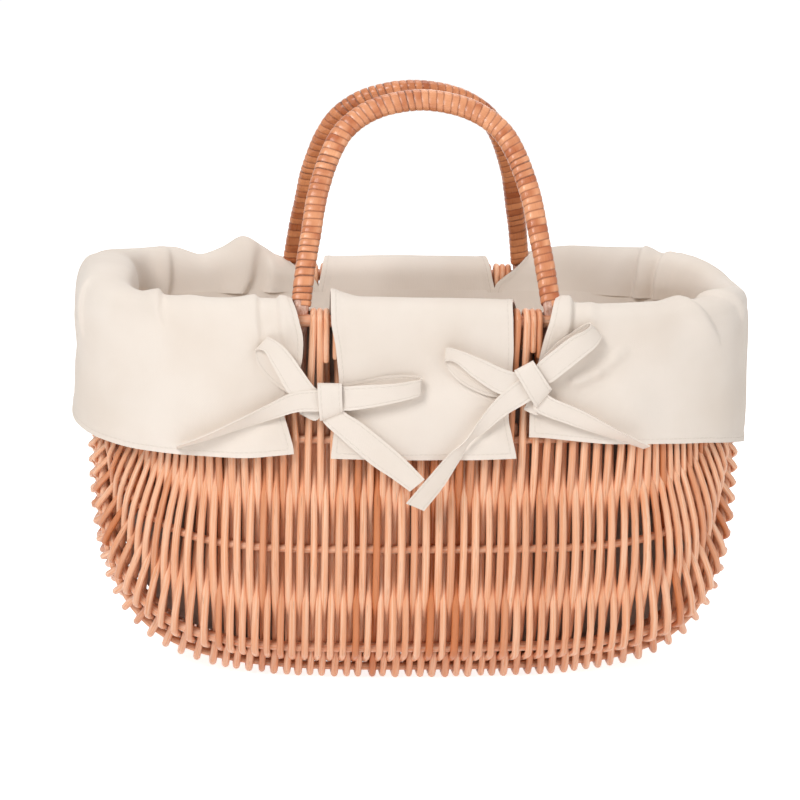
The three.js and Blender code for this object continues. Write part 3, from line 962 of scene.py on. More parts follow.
@dataclass(frozen=True)
class Calico:
    """Plain-weave cotton with a stitch line beside its hems."""

    name: str
    light: Colour
    dark: Colour
    thread: float = 0.55 * MM
    slub_scale: Triple = (900.0, 160.0, 1.0)
    stitch_from_edge: float = 3.4
    stitch_width: float = 0.45
    stitch_pitch: float = 3.2 * MM
    stitch_colour: Colour = (176, 158, 138)
    roughness: float = 0.9
    sheen: float = 0.12

    def make(self) -> bpy.types.Material:
        """Returns the material, which reads the UV map in metres and the edge distance in mm."""
        n = Nodes(self.name)
        uv = n.uv()
        split = n.split(uv)
        pace = math.pi / self.thread
        warp = n.math("SINE", n.math("MULTIPLY", split.outputs["X"], pace))
        weft = n.math("SINE", n.math("MULTIPLY", split.outputs["Y"], pace))
        weave = n.math("MULTIPLY", warp, weft)
        slub = n.noise(n.stretched(uv, self.slub_scale), 1.0, 3.0)
        clouds = n.noise(uv, 14.0, 3.0)
        color = n.blend(n.ramp(clouds, 0.3, 0.7), paint(*self.light), paint(*self.dark))
        color = n.blend(n.math("MULTIPLY", n.ramp(slub, 0.55, 0.8), 0.2), color, paint(*self.dark))
        edge = n.attribute("edge")
        off = n.math("ABSOLUTE", n.math("SUBTRACT", edge, self.stitch_from_edge))
        line = n.math("SUBTRACT", 1.0, n.ramp(off, self.stitch_width * 0.5, self.stitch_width))
        run = n.math("ADD", split.outputs["X"], split.outputs["Y"])
        pitch = 2 * math.pi / self.stitch_pitch
        dashes = n.ramp(n.math("SINE", n.math("MULTIPLY", run, pitch)), -1.3, 0.1)
        stitch = n.math("MULTIPLY", line, dashes)
        color = n.blend(n.math("MULTIPLY", stitch, 0.14), color, paint(*self.stitch_colour))
        n.finish(color, self.roughness)
        height = n.math("ADD", n.math("MULTIPLY", weave, 0.35), slub)
        height = n.math("SUBTRACT", height, n.math("MULTIPLY", line, 1.6))
        n.bump(height, 0.12 * MM, 0.6)
        n.shader.inputs["Sheen Weight"].default_value = self.sheen
        return n.material


# The wicker.

KEEL_RADIUS = 3.0 * MM
WEAVE_GAP = 0.4 * MM
FAN_GAP = 0.5 * MM
TIGHT_GAP = 0.15 * MM
TIP_LENGTH = 16.0 * MM
UNDER_RIM = 12.0 * MM
BEND_STRIDE = 8


@dataclass(frozen=True)
class Rib:
    """A lengthwise rib with its line and its radius."""

    name: str
    line: Line
    radius: float


@dataclass(frozen=True)
class Route:
    """Where one rod crosses the ribs: a mark on each line by the line's name.

    A rod that isn't hooked over the rim ends below it, at ends_at of the way up from the last
    rib. The keel's side is 1 where the rod passes under the keel.
    """

    side: End
    cad_place: float
    marks: dict[str, float]
    keel_side: int
    radius: float
    gap: float
    hooked: bool = True
    ends_at: float = 0.9
    thin_top: float = 1.0


@dataclass
class Wicker:
    """The rim, the ribs and the rods woven round them."""

    wall: Wall
    upright_rods: int = 33
    upright_reach: float = 131.67 * MM
    cad_upright_rods: int = 10
    fan_rods: int = 50
    rod_radius: float = 2.55 * MM
    fan_radius: float = 2.05 * MM
    foot_place: float = 79.0 * MM
    foot_room: float = 5.2 * MM
    foot_spread: float = 16.0 * MM
    cad_rods_a_side: int = 17
    last_share: float = 0.985
    tip_round: float = 1.3 * MM
    pressed: float = 0.8
    chance: random.Random = field(default_factory=lambda: random.Random(SEED))

    # Each kind of rib: its name, its depth and its end as shares of the wall, and its radius.
    rib_kinds: ClassVar[tuple[tuple[str, float, float, float], ...]] = (
        ("upper_rib", 0.32, 0.9, 2.6 * MM),
        ("middle_rib", 0.622, 0.955, 2.6 * MM),
        ("lower_rib", 0.908, 0.985, 3.1 * MM),
        ("base_rib", 0.988, 0.997, 2.6 * MM),
    )
    # How far along what is left of each line a fanned rod crosses it: a value above 1 is past
    # the end of the rib.
    fan_table: ClassVar[dict[str, tuple[float, ...]]] = {
        "rim_hoop": (0.0, 0.12, 0.26, 0.38, 0.5, 0.62, 0.74, 0.86, 0.95),
        "upper_rib": (0.0, 0.15, 0.33, 0.54, 0.80, 1.1, 1.5, 2.0, 2.5),
        "middle_rib": (0.0, 0.14, 0.29, 0.48, 0.72, 0.92, 1.2, 1.5, 2.0),
        "lower_rib": (0.0, 0.13, 0.30, 0.53, 0.73, 0.85, 0.94, 1.1, 1.5),
        "base_rib": (0.0, 0.13, 0.31, 0.53, 0.71, 0.84, 0.91, 1.0, 1.1),
        "keel_rib": (0.0, 0.12, 0.29, 0.48, 0.67, 0.80, 0.88, 0.955, 0.985),
    }

    # Which row of the table a fanned rod has, by its share of their number.
    fan_rows: ClassVar[tuple[Point, ...]] = (
        (0.0, 0.0),
        (0.13, 1.0),
        (0.3, 2.0),
        (0.5, 3.0),
        (0.7, 4.0),
        (0.88, 5.1),
        (1.0, 7.7),
    )

    # A rod's share of its own radius at the five bends of its hook, from the tip on.
    hook_shares: ClassVar[tuple[float, ...]] = (0.45, 0.84, 0.86, 0.86, 0.92)

    def __post_init__(self) -> None:
        """Lays out the lines of the rim and the ribs."""
        self.hoops = {facing: self.wall.hoop(facing) for facing in Facing}
        ribs = {
            facing: [
                Rib(f"{facing.word}_{name}", self.wall.rib(deep, end, facing), radius)
                for name, deep, end, radius in self.rib_kinds
            ]
            for facing in Facing
        }
        keel = Rib("keel_rib", self.wall.rib(self.wall.base_share, 1.0, None), KEEL_RADIUS)
        self.ribs = [*ribs[Facing.FRONT], keel, *reversed(ribs[Facing.BACK])]

    def build(self, willow: bpy.types.Material) -> None:
        """Builds the rim, the ribs and all rods.

        Args:
            willow: The willow.
        """
        self.build_rim(willow)
        for rib in self.ribs:
            self.build_rib(rib, willow)
        self.build_rods(willow)

    def build_rim(self, willow: bpy.types.Material) -> None:
        """Bends the rim rod.

        Args:
            willow: The willow.
        """
        front = self.hoops[Facing.FRONT].points[::BEND_STRIDE]
        back = self.hoops[Facing.BACK].points[::BEND_STRIDE]
        points = [*front[:-1], *reversed(back[1:])]
        rim = bent_rod("rim_rod", bends_along(points, True), self.wall.hoop_radius, 4, 3, True)
        set_attribute(rim, "tone", [0.55] * len(rim.data.vertices))
        dress(rim, willow, Slot.WILLOW)
        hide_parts("rim_hoop")
        report(rim)

    def build_rib(self, rib: Rib, willow: bpy.types.Material) -> None:
        """Bends one rib.

        Args:
            rib: The rib.
            willow: The willow.
        """
        points = [*rib.line.points[:-1:BEND_STRIDE], rib.line.points[-1]]
        piece = bent_rod(f"{rib.name}_rod", bends_along(points), rib.radius, 4, 3)
        set_attribute(piece, "tone", [self.chance.uniform(0.3, 0.5)] * len(piece.data.vertices))
        dress(piece, willow, Slot.WILLOW)
        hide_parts(rib.name)
        report(piece)

    def routes(self) -> list[Route]:
        """Returns every rod's route, the middle ones first on each side."""
        routes = []
        names = ["rim_hoop", *(rib.name for rib in self.ribs)]
        for side in End:
            for i in range(self.upright_rods):
                mark = (i + 0.5) * self.upright_reach / self.upright_rods
                drift = self.chance.uniform(-0.7, 0.7) * MM
                marks = {
                    name: side * (mark + drift * k / 5 + self.chance.uniform(-0.4, 0.4) * MM)
                    for k, name in enumerate(names)
                }
                hooked = i % 3 != 2
                on_rim = (i - i // 3 + 0.5) * self.upright_reach / (self.upright_rods * 2 / 3)
                marks["rim_hoop"] = side * self.clear_of_foot(on_rim if hooked else mark)
                place = (i + 0.5) * self.cad_upright_rods / self.upright_rods - 0.5
                radius = self.rod_radius * self.chance.uniform(0.86, 1.02)
                keel_side = side if i % 2 else -side
                ends_at = self.chance.uniform(0.15, 0.35)
                route = Route(side, place, marks, keel_side, radius, WEAVE_GAP, hooked, ends_at)
                routes.append(route)
            for i in range(self.fan_rods):
                routes.append(self.fan_route(side, i))
        return routes

    def clear_of_foot(self, mark: float) -> float:
        """Moves a rod's place on the rim clear of the handle's foot.

        Args:
            mark: The rod's place along the rim.

        Returns:
            The place that is clear.
        """
        off = mark - self.foot_place
        if abs(off) > self.foot_spread:
            return mark
        eased = self.foot_room + abs(off) * (1 - self.foot_room / self.foot_spread)
        return self.foot_place + math.copysign(eased, off)

    def fan_route(self, side: End, i: int) -> Route:
        """Returns the route of a rod that fans round an end.

        Args:
            side: The end of the basket.
            i: The rod's number there.

        Returns:
            The route.
        """
        row = read_off(self.fan_rows, (i + 0.4) / self.fan_rods)
        marks = {}
        for key, shares in self.fan_table.items():
            low = int(row)
            share = mix(shares[low], shares[low + 1], row - low)
            if share > self.last_share:
                continue
            for name in (key, f"front_{key}", f"back_{key}"):
                line = self.line_named(name)
                if line:
                    marks[name] = side * mix(self.upright_reach, line.reach(side), share)
        thinning = mix(1.25, 1.08, soft_step(0, 3, row)) * mix(1.0, 0.7, soft_step(4, 5.2, row))
        hooked = row < 5 and i % 2 == 0
        return Route(
            side=side,
            cad_place=self.cad_upright_rods + row - 1,
            marks=marks,
            keel_side=side if (self.upright_rods + i) % 2 else -side,
            radius=self.fan_radius * thinning * self.chance.uniform(0.94, 1.06),
            gap=FAN_GAP if row < 4.2 else TIGHT_GAP,
            hooked=hooked,
            ends_at=0.35 if row < 4 else 0.9,
            thin_top=mix(1.0, 0.68, soft_step(0, 2, row)),
        )

    def line_named(self, name: str) -> Optional[Line]:
        """Returns the line of a rib or of the rim, if there is one of that name.

        Args:
            name: The name.

        Returns:
            The line, or nothing.
        """
        if name == "rim_hoop":
            return self.hoops[Facing.FRONT]
        return next((rib.line for rib in self.ribs if rib.name == name), None)

    def hook(self, facing: Facing, route: Route, tip_side: int) -> list[Bend]:
        """Returns the bends over the rim rod, from the rod's tip to where it runs down.

        Args:
            facing: The side.
            route: The rod's route.
            tip_side: 1 for a tip outside.

        Returns:
            The bends.
        """
        station = self.hoops[facing].at(route.marks["rim_hoop"])
        outwards = station.normal * tip_side
        end, near_end, side, top, inside = self.hook_shares
        radius = self.wall.hoop_radius + route.gap + top * route.radius
        kappa = QUARTER_HANDLE * radius
        tip = TIP_LENGTH * self.chance.uniform(0.7, 1.6)

        def at(out: float, up: float) -> Vector:
            """Returns a place out from the rim rod's middle and up."""
            return station.point + outwards * out + UP * up

        third = tip / 3
        inner = at(radius, self.tip_round - tip)
        return [
            Bend(at(radius, -tip), at(radius, -tip), at(radius, -tip), end),
            Bend(inner, at(radius, -tip), at(radius, third - tip), near_end),
            Bend(at(radius, 0), at(radius, -third), at(radius, kappa), side),
            Bend(at(0, radius), at(kappa, radius), at(-kappa, radius), top),
            Bend(at(-radius, 0), at(-radius, kappa), at(-radius, -2 * kappa), inside),
        ]

    def rod_bends(self, route: Route) -> list[Bend]:
        """Returns all bends of a rod, from its front tip to its back tip.

        Args:
            route: The rod's route.

        Returns:
            The bends.
        """
        reached = [rib for rib in self.ribs if rib.name in route.marks]
        middle = len(reached) // 2
        sides = [route.keel_side * (-1) ** abs(i - middle) for i in range(len(reached))]
        places = []
        for rib, passing in zip(reached, sides):
            station = rib.line.at(route.marks[rib.name])
            away = station.normal * passing
            rise = rib.radius + route.gap + self.pressed * route.radius
            places.append((station.point + away * rise, away))
        fronts = self.rod_end(Facing.FRONT, route, -sides[0], places[0][0])
        backs = self.rod_end(Facing.BACK, route, -sides[0], places[-1][0])
        back = [Bend(b.point, b.after, b.before, b.share) for b in reversed(backs)]
        stops = [fronts[-1].point, *(point for point, _ in places), back[0].point]
        bends = []
        for i, (point, away) in enumerate(places):
            run = stops[i + 2] - stops[i]
            run = (run - away * run.dot(away)).normalized()
            before = self.handle_length((point - stops[i]).length)
            after = self.handle_length((stops[i + 2] - point).length)
            high = soft_step(100 * MM, 180 * MM, point.z)
            thin = mix(1.0, route.thin_top, high)
            bends.append(Bend(point, point - run * before, point + run * after, thin))
        return [*fronts, *bends, *back]

    def rod_end(self, facing: Facing, route: Route, tip_side: int, first: Vector) -> list[Bend]:
        """Returns the bends of one end of a rod: a hook over the rim, or a tip below it.

        Args:
            facing: The side.
            route: The rod's route.
            tip_side: 1 for a tip outside.
            first: Its place at the nearest rib.

        Returns:
            The bends, from the tip on.
        """
        if route.hooked:
            return self.hook(facing, route, tip_side)
        below = self.hoops[facing].at(route.marks["rim_hoop"]).point - UP * UNDER_RIM
        tip = first.lerp(below, route.ends_at)
        inner = tip + (first - tip).normalized() * self.tip_round
        share = 0.8 * route.thin_top
        return [Bend(tip, tip, tip, 0.5 * share), Bend(inner, tip, inner, share)]

    @staticmethod
    def handle_length(distance: float) -> float:
        """Returns how slowly a rod bends on its way to the next rib: sharply if it is near."""
        slow = 0.36 * distance
        return mix(min(slow, 3.5 * MM), slow, soft_step(35 * MM, 55 * MM, distance))

    def build_rods(self, willow: bpy.types.Material) -> None:
        """Bends all rods and lets the nearest ones stand for the frame's.

        Args:
            willow: The willow.
        """
        routes = self.routes()
        total = 0
        count = self.cad_rods_a_side
        for side in End:
            own = sorted((r for r in routes if r.side == side), key=lambda r: r.cad_place)
            taken = {}
            for number in range(count):
                free = [i for i in range(len(own)) if i not in taken]
                nearest = min(free, key=lambda i: abs(own[i].cad_place - number))
                taken[nearest] = count - number if side is End.LEFT else count + 1 + number
            for i, route in enumerate(own):
                name = f"willow_rod_{side.word}_{i + 1:02d}"
                rod = bent_rod(name, self.rod_bends(route), route.radius)
                tone = clamp(self.chance.gauss(0.4, 0.28), 0, 1)
                set_attribute(rod, "tone", [tone] * len(rod.data.vertices))
                dress(rod, willow, Slot.WILLOW)
                if i in taken:
                    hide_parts(f"weaver_rod_{taken[i]:02d}")
                total += len(rod.data.polygons)
        LOG.info("%d willow rods: %d faces", len(routes), total)


# The handles.


@dataclass
class Handle:
    """One arched handle: a core of two rods side by side, bound with skein."""

    wall: Wall
    facing: Facing
    half_span: float = 79.0 * MM
    rise: float = 124.0 * MM
    lean: float = 57.0 * MM
    turns: int = 74
    sides: int = 18
    lobe_offset: float = 1.9 * MM
    lobe_radius: float = 3.5 * MM
    skein_thickness: float = 0.8 * MM
    skein_girth: float = 34.0 * MM
    foot_depth: float = 70.0 * MM
    foot_inset: float = 6.9 * MM
    over_rim: float = 9.4 * MM
    seat_depth: float = 0.9 * MM
    arch_steps: int = 90
    foot_steps: int = 8

    # The arch: shares of its half span and of its rise.
    arch: ClassVar[tuple[Point, ...]] = (
        (1.0, 0.0),
        (0.957, 0.198),
        (0.914, 0.347),
        (0.855, 0.545),
        (0.743, 0.743),
        (0.6, 0.872),
        (0.35, 0.963),
        (0.0, 1.0),
    )

    def __post_init__(self) -> None:
        """Lays out the middle line of the arch."""
        self.chance = random.Random(SEED + self.facing)
        self.word = self.facing.word
        top = self.wall.hoop_height + self.over_rim
        self.base = top - self.seat_depth
        arch_rise = top + self.rise - self.base
        lean_angle = math.atan2(self.lean, arch_rise)
        self.normal = Vector((0, self.facing * math.cos(lean_angle), math.sin(lean_angle)))
        foot_y = self.facing * self.wall.half_depth_at(self.half_span, 0)

        def place(across: float, up: float) -> Vector:
            """Returns a place of the arch by its two shares."""
            return Vector(
                (
                    -across * self.half_span,
                    foot_y - self.facing * up * self.lean,
                    self.base + up * arch_rise,
                )
            )

        left = [place(across, up) for across, up in self.arch]
        right = [place(-across, up) for across, up in self.arch[:-1]]
        self.points = curve_through([*left, *reversed(right)], 16)
        self.marks = [0.0]
        for a, b in zip(self.points, self.points[1:]):
            self.marks.append(self.marks[-1] + (b - a).length)
        self.length = self.marks[-1]

    def at(self, distance: float) -> tuple[Vector, Vector]:
        """Returns the middle and the sideways direction at a distance from the left foot.

        Args:
            distance: The distance.

        Returns:
            The middle and the direction.
        """
        i = int(clamp(bisect_left(self.marks, distance), 1, len(self.marks) - 1))
        share = (distance - self.marks[i - 1]) / (self.marks[i] - self.marks[i - 1])
        point = self.points[i - 1].lerp(self.points[i], share)
        low = self.points[max(i - 3, 0)]
        high = self.points[min(i + 2, len(self.points) - 1)]
        return point, (high - low).normalized().cross(self.normal)

    def section(self, angle: float, radius: float) -> Point:
        """Returns a point of the section of two rods side by side: sideways and outwards.

        Args:
            angle: The direction round it.
            radius: The radius of a rod.

        Returns:
            The point.
        """
        across = self.lobe_offset * math.tanh(4 * math.sin(angle)) + radius * math.sin(angle)
        valley = 1 - 0.09 * math.exp(-((across / (1.5 * MM)) ** 2))
        return across, radius * math.cos(angle) * valley

    def fullness(self, distance: float) -> float:
        """Returns how thick the handle is at a distance, as a share: most at the top."""
        share = distance / self.length
        return mix(0.9, 1.06, math.sin(math.pi * clamp(share, 0, 1)) ** 1.5)

    def build(self, skein: bpy.types.Material, cut: bpy.types.Material) -> None:
        """Builds the core with its feet, and the binding."""
        self.build_core(cut)
        self.build_binding(skein)

    def build_core(self, cut: bpy.types.Material) -> None:
        """Lofts the core from one driven foot over the arch to the other.

        Args:
            cut: The material of cut wood.
        """
        arch_steps = self.arch_steps
        foot_steps = self.foot_steps
        rows = arch_steps + 2 * foot_steps
        columns = 24

        def place(u: float, v: float) -> Vector:
            """Returns a point of the core by its shares round and along it."""
            angle = 2 * math.pi * u
            row = v * rows - foot_steps
            if 0 <= row <= arch_steps:
                distance = self.length * row / arch_steps
                point, side = self.at(distance)
                across, out = self.section(angle, self.lobe_radius * self.fullness(distance))
                return point + side * across + self.normal * out
            left = row < 0
            down = (-row if left else row - arch_steps) / foot_steps
            return self.foot_point(left, down, angle)

        core = shaped_grid(f"{self.word}_handle_rods", columns, rows, place, (0.02, 0.5))
        tidy_mesh(core, 0.02 * MM)
        select_only(core)
        bpy.ops.object.mode_set(mode="EDIT")
        bpy.ops.mesh.select_all(action="SELECT")
        bpy.ops.mesh.fill_holes(sides=0)
        bpy.ops.mesh.normals_make_consistent(inside=False)
        bpy.ops.object.mode_set(mode="OBJECT")
        bpy.ops.object.shade_smooth_by_angle(angle=math.radians(40))
        dress(core, cut, Slot.WILLOW)
        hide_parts(f"{self.word}_handle_core")
        report(core)

    def foot_point(self, left: bool, down: float, angle: float) -> Vector:
        """Returns a point of a driven foot, which thins to a slanted cut.

        Args:
            left: Whether it is the left foot.
            down: How far down the foot, as a share.
            angle: The direction round the section.

        Returns:
            The point.
        """
        side = End.LEFT if left else End.RIGHT
        top, _ = self.at(0 if left else self.length)
        depth = mix(self.wall.hoop_height - top.z, self.foot_depth, down)
        wall_depth = self.wall.half_depth_at(self.half_span, max(depth, 0))
        inside = self.facing * (wall_depth - self.foot_inset)
        y = mix(top.y, inside, soft_step(0, 0.25, down))
        middle = Vector((side * self.half_span, y, self.wall.hoop_height - depth))
        thin = mix(1.0, 0.45, down)
        across, out = self.section(angle, self.lobe_radius * 0.88)
        sideways = Vector((side * self.facing, 0, 0)) * across * mix(0.95, 0.6, down)
        return middle + sideways + Vector((0, self.facing, 0)) * out * thin * 0.75

    def turn_starts(self) -> list[float]:
        """Returns where each turn of the binding starts, with uneven widths."""
        widths = [self.chance.uniform(0.86, 1.14) for _ in range(self.turns + 1)]
        for wide in (3, 4, self.turns - 3, self.turns - 5):
            widths[wide] *= 1.35
        starts = [0.0]
        for width in widths:
            starts.append(starts[-1] + width)
        return [start * self.length / starts[-1] for start in starts]

    def build_binding(self, skein: bpy.types.Material) -> None:
        """Winds the skein round the core.

        Args:
            skein: The skein.
        """
        starts = self.turn_starts()
        gaps = [self.chance.choice((0.05, 0.12, 0.2, 0.3)) * MM for _ in starts]
        loose_turns = 9
        for loose in self.chance.sample(range(len(gaps)), loose_turns):
            gaps[loose] = self.chance.uniform(0.7, 1.1) * MM
        lifts = [self.chance.uniform(-0.08, 0.12) * MM for _ in starts]
        tones = [clamp(self.chance.gauss(0.2, 0.22), 0, 0.7) for _ in starts]
        rows = self.turns * self.sides
        columns = 6
        crown = 0.2 * MM

        def place(u: float, v: float) -> Vector:
            """Returns a point of the skein by its shares across and along it."""
            wound = v * self.turns
            turn = min(int(wound), self.turns - 1)
            rest = wound - turn
            low = mix(starts[turn], starts[turn + 1], rest)
            high = mix(starts[turn + 1], starts[turn + 2], rest)
            gap = mix(gaps[turn], gaps[turn + 1], rest)
            lift = mix(lifts[turn], lifts[turn + 1], rest)
            across = 2 * u - 1
            distance = clamp(mix(low + gap / 2, high - gap / 2, u), 0, self.length)
            radius = (self.lobe_radius + self.skein_thickness) * self.fullness(distance)
            radius += lift + crown * (1 - across**2) - 0.5 * crown * across**6
            point, side = self.at(distance)
            sideways, out = self.section(2 * math.pi * rest, radius)
            return point + side * sideways + self.normal * out

        size = (self.length / self.turns, self.turns * self.skein_girth)
        binding = shaped_grid(f"{self.word}_handle_skein", columns, rows, place, size)
        shares = grid_shares(binding, size)
        values = [tones[min(int(v * self.turns), self.turns)] for _, v in shares]
        set_attribute(binding, "tone", values)
        # How near each point is to the edge of its turn, for the painted shade between turns.
        set_attribute(binding, "brink", [abs(2 * u - 1) for u, _ in shares])
        thicken(binding, self.skein_thickness)
        tidy_mesh(binding, 0.001 * MM, 50)
        dress(binding, skein, Slot.SKEIN)
        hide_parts(f"{self.word}_handle_binding")
        report(binding)


# The liner.

CLOTH = 1.1 * MM
HEM_WIDTH = 6.0
FOLD_RADIUS = 10.7 * MM
TUCK = 10.0 * MM
CLOTH_IN_ROLL = 0.4 * MM
CLOTH_ON_WALL = 1.2 * MM

# What is added to a distance from an end's middle, to tell it from an x.
FROM_END = 1000.0


@dataclass(frozen=True)
class ClothPair:
    """The face and the back of the cloth. On the liner and the flaps the back is painted shade: a
    darker, greyer copy of the face.
    """

    face: bpy.types.Material
    back: bpy.types.Material


@dataclass(frozen=True)
class Fold:
    """A ridge of cloth on a flap, or a valley where the height is less than nothing.

    Places are an x and a height in millimetres, on the facing that the fold lies on. A fold on
    the end of the basket gives the distance round the rim from the end's middle instead, plus
    1000. A fold that leans is steep on the side of greater x, or on the other if it is minus.
    """

    start: Point
    end: Point
    height: float
    width: float
    facing: Facing = Facing.FRONT
    lean: float = 0.0


@dataclass
class Flap:
    """A flap of the liner: up from its seam inside, over the rim and down to its hem.

    The two edges are an x by the distance along the cloth, and the hem and the lifts are
    distances by the place across the flap, all in millimetres.
    """

    name: str
    node: str
    wall: Wall
    hoops: dict[Facing, Line]
    columns: int
    rows: int
    folds: Sequence[Fold]
    first_edge: Sequence[Point]
    last_edge: Sequence[Point]
    hem: Sequence[Point]
    lifts: Sequence[Point]
    wobble: float = 1.0
    flare: float = 4.0

    hem_reach: ClassVar[float] = 4
    lift_reach: ClassVar[float] = 3

    def __post_init__(self) -> None:
        """Places the folds on the cloth."""
        level = self.wall.hoop_height / MM
        self.placed_folds = [
            (
                fold,
                *(
                    Vector((self.run_at(x, fold.facing) / MM, level - z))
                    for x, z in (fold.start, fold.end)
                ),
            )
            for fold in self.folds
        ]

    def run_at(self, x: float, facing: Facing) -> float:
        """Returns the distance along the rim of an x in millimetres, on a facing."""
        return self.hoops[facing].mark_at_x(x * MM)

    def across_at(self, x: float, facing: Facing) -> float:
        """Returns the place across the flap of an x in millimetres, on a facing."""
        return x * MM

    def drop(self, across: float) -> float:
        """Returns how far the hem is down the cloth at a place across the flap."""
        return read_smooth(self.hem, across / MM, self.hem_reach) * MM

    def lift(self, across: float) -> float:
        """Returns how high the cloth stands over the rim at a place across the flap."""
        return read_smooth(self.lifts, across / MM, self.lift_reach) * MM

    def point(self, across: float, t: float) -> Vector:
        """Returns the cloth's place, which each kind of flap knows."""
        raise NotImplementedError

    def build(self, cloth: ClothPair) -> None:
        """Builds the flap.

        Args:
            cloth: The cloth.
        """
        seam = -math.pi * FOLD_RADIUS - TUCK
        longest = max(drop for _, drop in self.hem) * MM
        edges = ((self.first_edge, self.facings[0]), (self.last_edge, self.facings[1]))
        first, last = (self.across_at(edge[0][1], facing) for edge, facing in edges)
        size = (last - first, longest - seam)

        def place(u: float, v: float) -> Vector:
            """Returns a point of the flap by its shares across and down it."""
            rough = mix(seam, longest, v) / MM
            low, high = (
                self.across_at(read_smooth(edge, rough, 4), facing) for edge, facing in edges
            )
            across = mix(low, high, u)
            return self.point(across, mix(seam, self.drop(across), v))

        piece = shaped_grid(self.name, self.columns, self.rows, place, size)
        self.finish(piece, size, cloth)

    def profile(self, t: float, drop: float, lift: float) -> tuple[float, float, Point]:
        """Returns the cloth's place over the rim.

        Args:
            t: The distance along the cloth past the level of the rim rod, outside.
            drop: The distance from there to the hem.
            lift: How much higher than the roll the cloth stands.

        Returns:
            How far out, how far up, and the cloth's outward direction as two numbers.
        """
        half_turn = math.pi * FOLD_RADIUS
        if t < -half_turn:
            return -FOLD_RADIUS, t + half_turn, (-1.0, 0.0)
        if t < 0:
            angle = -t / FOLD_RADIUS
            up = FOLD_RADIUS * math.sin(angle) + lift * math.sin(angle) ** 0.8
            return FOLD_RADIUS * math.cos(angle), max(up, 0), (math.cos(angle), math.sin(angle))
        share = t / drop
        return FOLD_RADIUS + self.flare * MM * share**2, -t, (1.0, 0.0)

    def crease(self, run: float, t: float) -> float:
        """Returns how far the folds stand out at a place of the cloth.

        Args:
            run: The distance round the rim.
            t: The distance along the cloth past the level of the rim rod.

        Returns:
            The height, in metres.
        """
        total = 0.0
        here = Vector((run / MM, t / MM))
        for fold, start, end in self.placed_folds:
            along = end - start
            share = clamp((here - start).dot(along) / along.length_squared, -0.25, 1.25)
            off = here - start - along * clamp(share, 0, 1)
            side = math.copysign(1, (along.x * off.y - along.y * off.x) * self.rightwards(fold))
            width = fold.width * (1 + fold.lean * side)
            taper = soft_step(-0.25, 0.15, share) * (1 - soft_step(0.6, 1.25, share))
            total += fold.height * math.exp(-((off.length / width) ** 2)) * taper
        return total * MM

    def rightwards(self, fold: Fold) -> int:
        """Returns 1 where the run grows with x, or -1."""
        return 1

    def waves(self, run: float, t: float) -> float:
        """Returns the cloth's gentle unevenness at a place of it.

        Args:
            run: The distance round the rim.
            t: The distance along the cloth.

        Returns:
            The height.
        """
        seed = float(sum(map(ord, self.name)) % 97)
        broad = noise.noise(Vector((run * 16, t * 12, seed)))
        fine = noise.noise(Vector((run * 45, t * 30, seed + 7)))
        calm = soft_step(-2 * FOLD_RADIUS, 10 * MM, t)
        return (1.4 * broad + 0.4 * fine) * self.wobble * MM * mix(0.45, 1.0, calm)

    def cloth_point(self, station: Station, run: float, t: float, drop: float, lift: float) -> Vector:
        """Returns the place of a point of the cloth.

        Args:
            station: The rim's station.
            run: The distance round the rim.
            t: The distance along the cloth.
            drop: Where its hem is.
            lift: How high it stands over the rim.

        Returns:
            The place.
        """
        out, up, (facing_out, facing_up) = self.profile(t, drop, lift)
        stand = self.crease(run, t) + self.waves(run, t) * soft_step(-45 * MM, -20 * MM, t)
        near_rim = -40 * MM < t < 16 * MM
        stand = max(stand, -CLOTH_IN_ROLL if near_rim else -CLOTH_ON_WALL)
        level = station.normal * (out + facing_out * stand)
        return station.point + level + UP * (up + facing_up * stand)

    def finish(self, piece: bpy.types.Object, size: Point, cloth: ClothPair) -> None:
        """Args:
            piece: The flap.
            size: Its flat size.
            cloth: The cloth.
        """
        shares = grid_shares(piece, size)
        edges = []
        for u, v in shares:
            beside = min(u, 1 - u) * size[0] / MM
            below = (1 - v) * size[1] / MM
            edges.append(min(beside, below))
        set_attribute(piece, "edge", edges)
        area = flat_area(piece)
        hem = piece.vertex_groups.new(name="hem")
        for i, edge in enumerate(edges):
            hem.add([i], 1 - 0.45 * soft_step(HEM_WIDTH - 1.5, HEM_WIDTH + 0.5, edge), "REPLACE")
        hanging = self.wall.hoop_height - TUCK
        face_towards(piece, lambda p: Vector((p.x * 0.2, p.y, 0)) if p.z < hanging else Vector())
        line_both_sides(piece, cloth.face, cloth.back)
        thicken(piece, 1.5 * CLOTH, hem.name)
        tidy_mesh(piece, 0.001 * MM, 60)
        let_ride(piece, Slot.COTTON)
        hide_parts(self.node)
        report(piece, area)


@dataclass
class MiddleFlap(Flap):
    """The flap over the front or the back of the rim, between the handle's feet.

    Its places across are an x.
    """

    facing: Facing = Facing.FRONT

    @property
    def facings(self) -> tuple[Facing, Facing]:
        """The facings of its left and its right edge."""
        return self.facing, self.facing

    def point(self, across: float, t: float) -> Vector:
        """Returns the cloth's place at an x and a distance along the cloth.

        Args:
            across: The x.
            t: The distance along the cloth.

        Returns:
            The place.
        """
        hoop = self.hoops[self.facing]
        run = hoop.mark_at_x(across)
        return self.cloth_point(hoop.at(run), run, t, self.drop(across), self.lift(across))


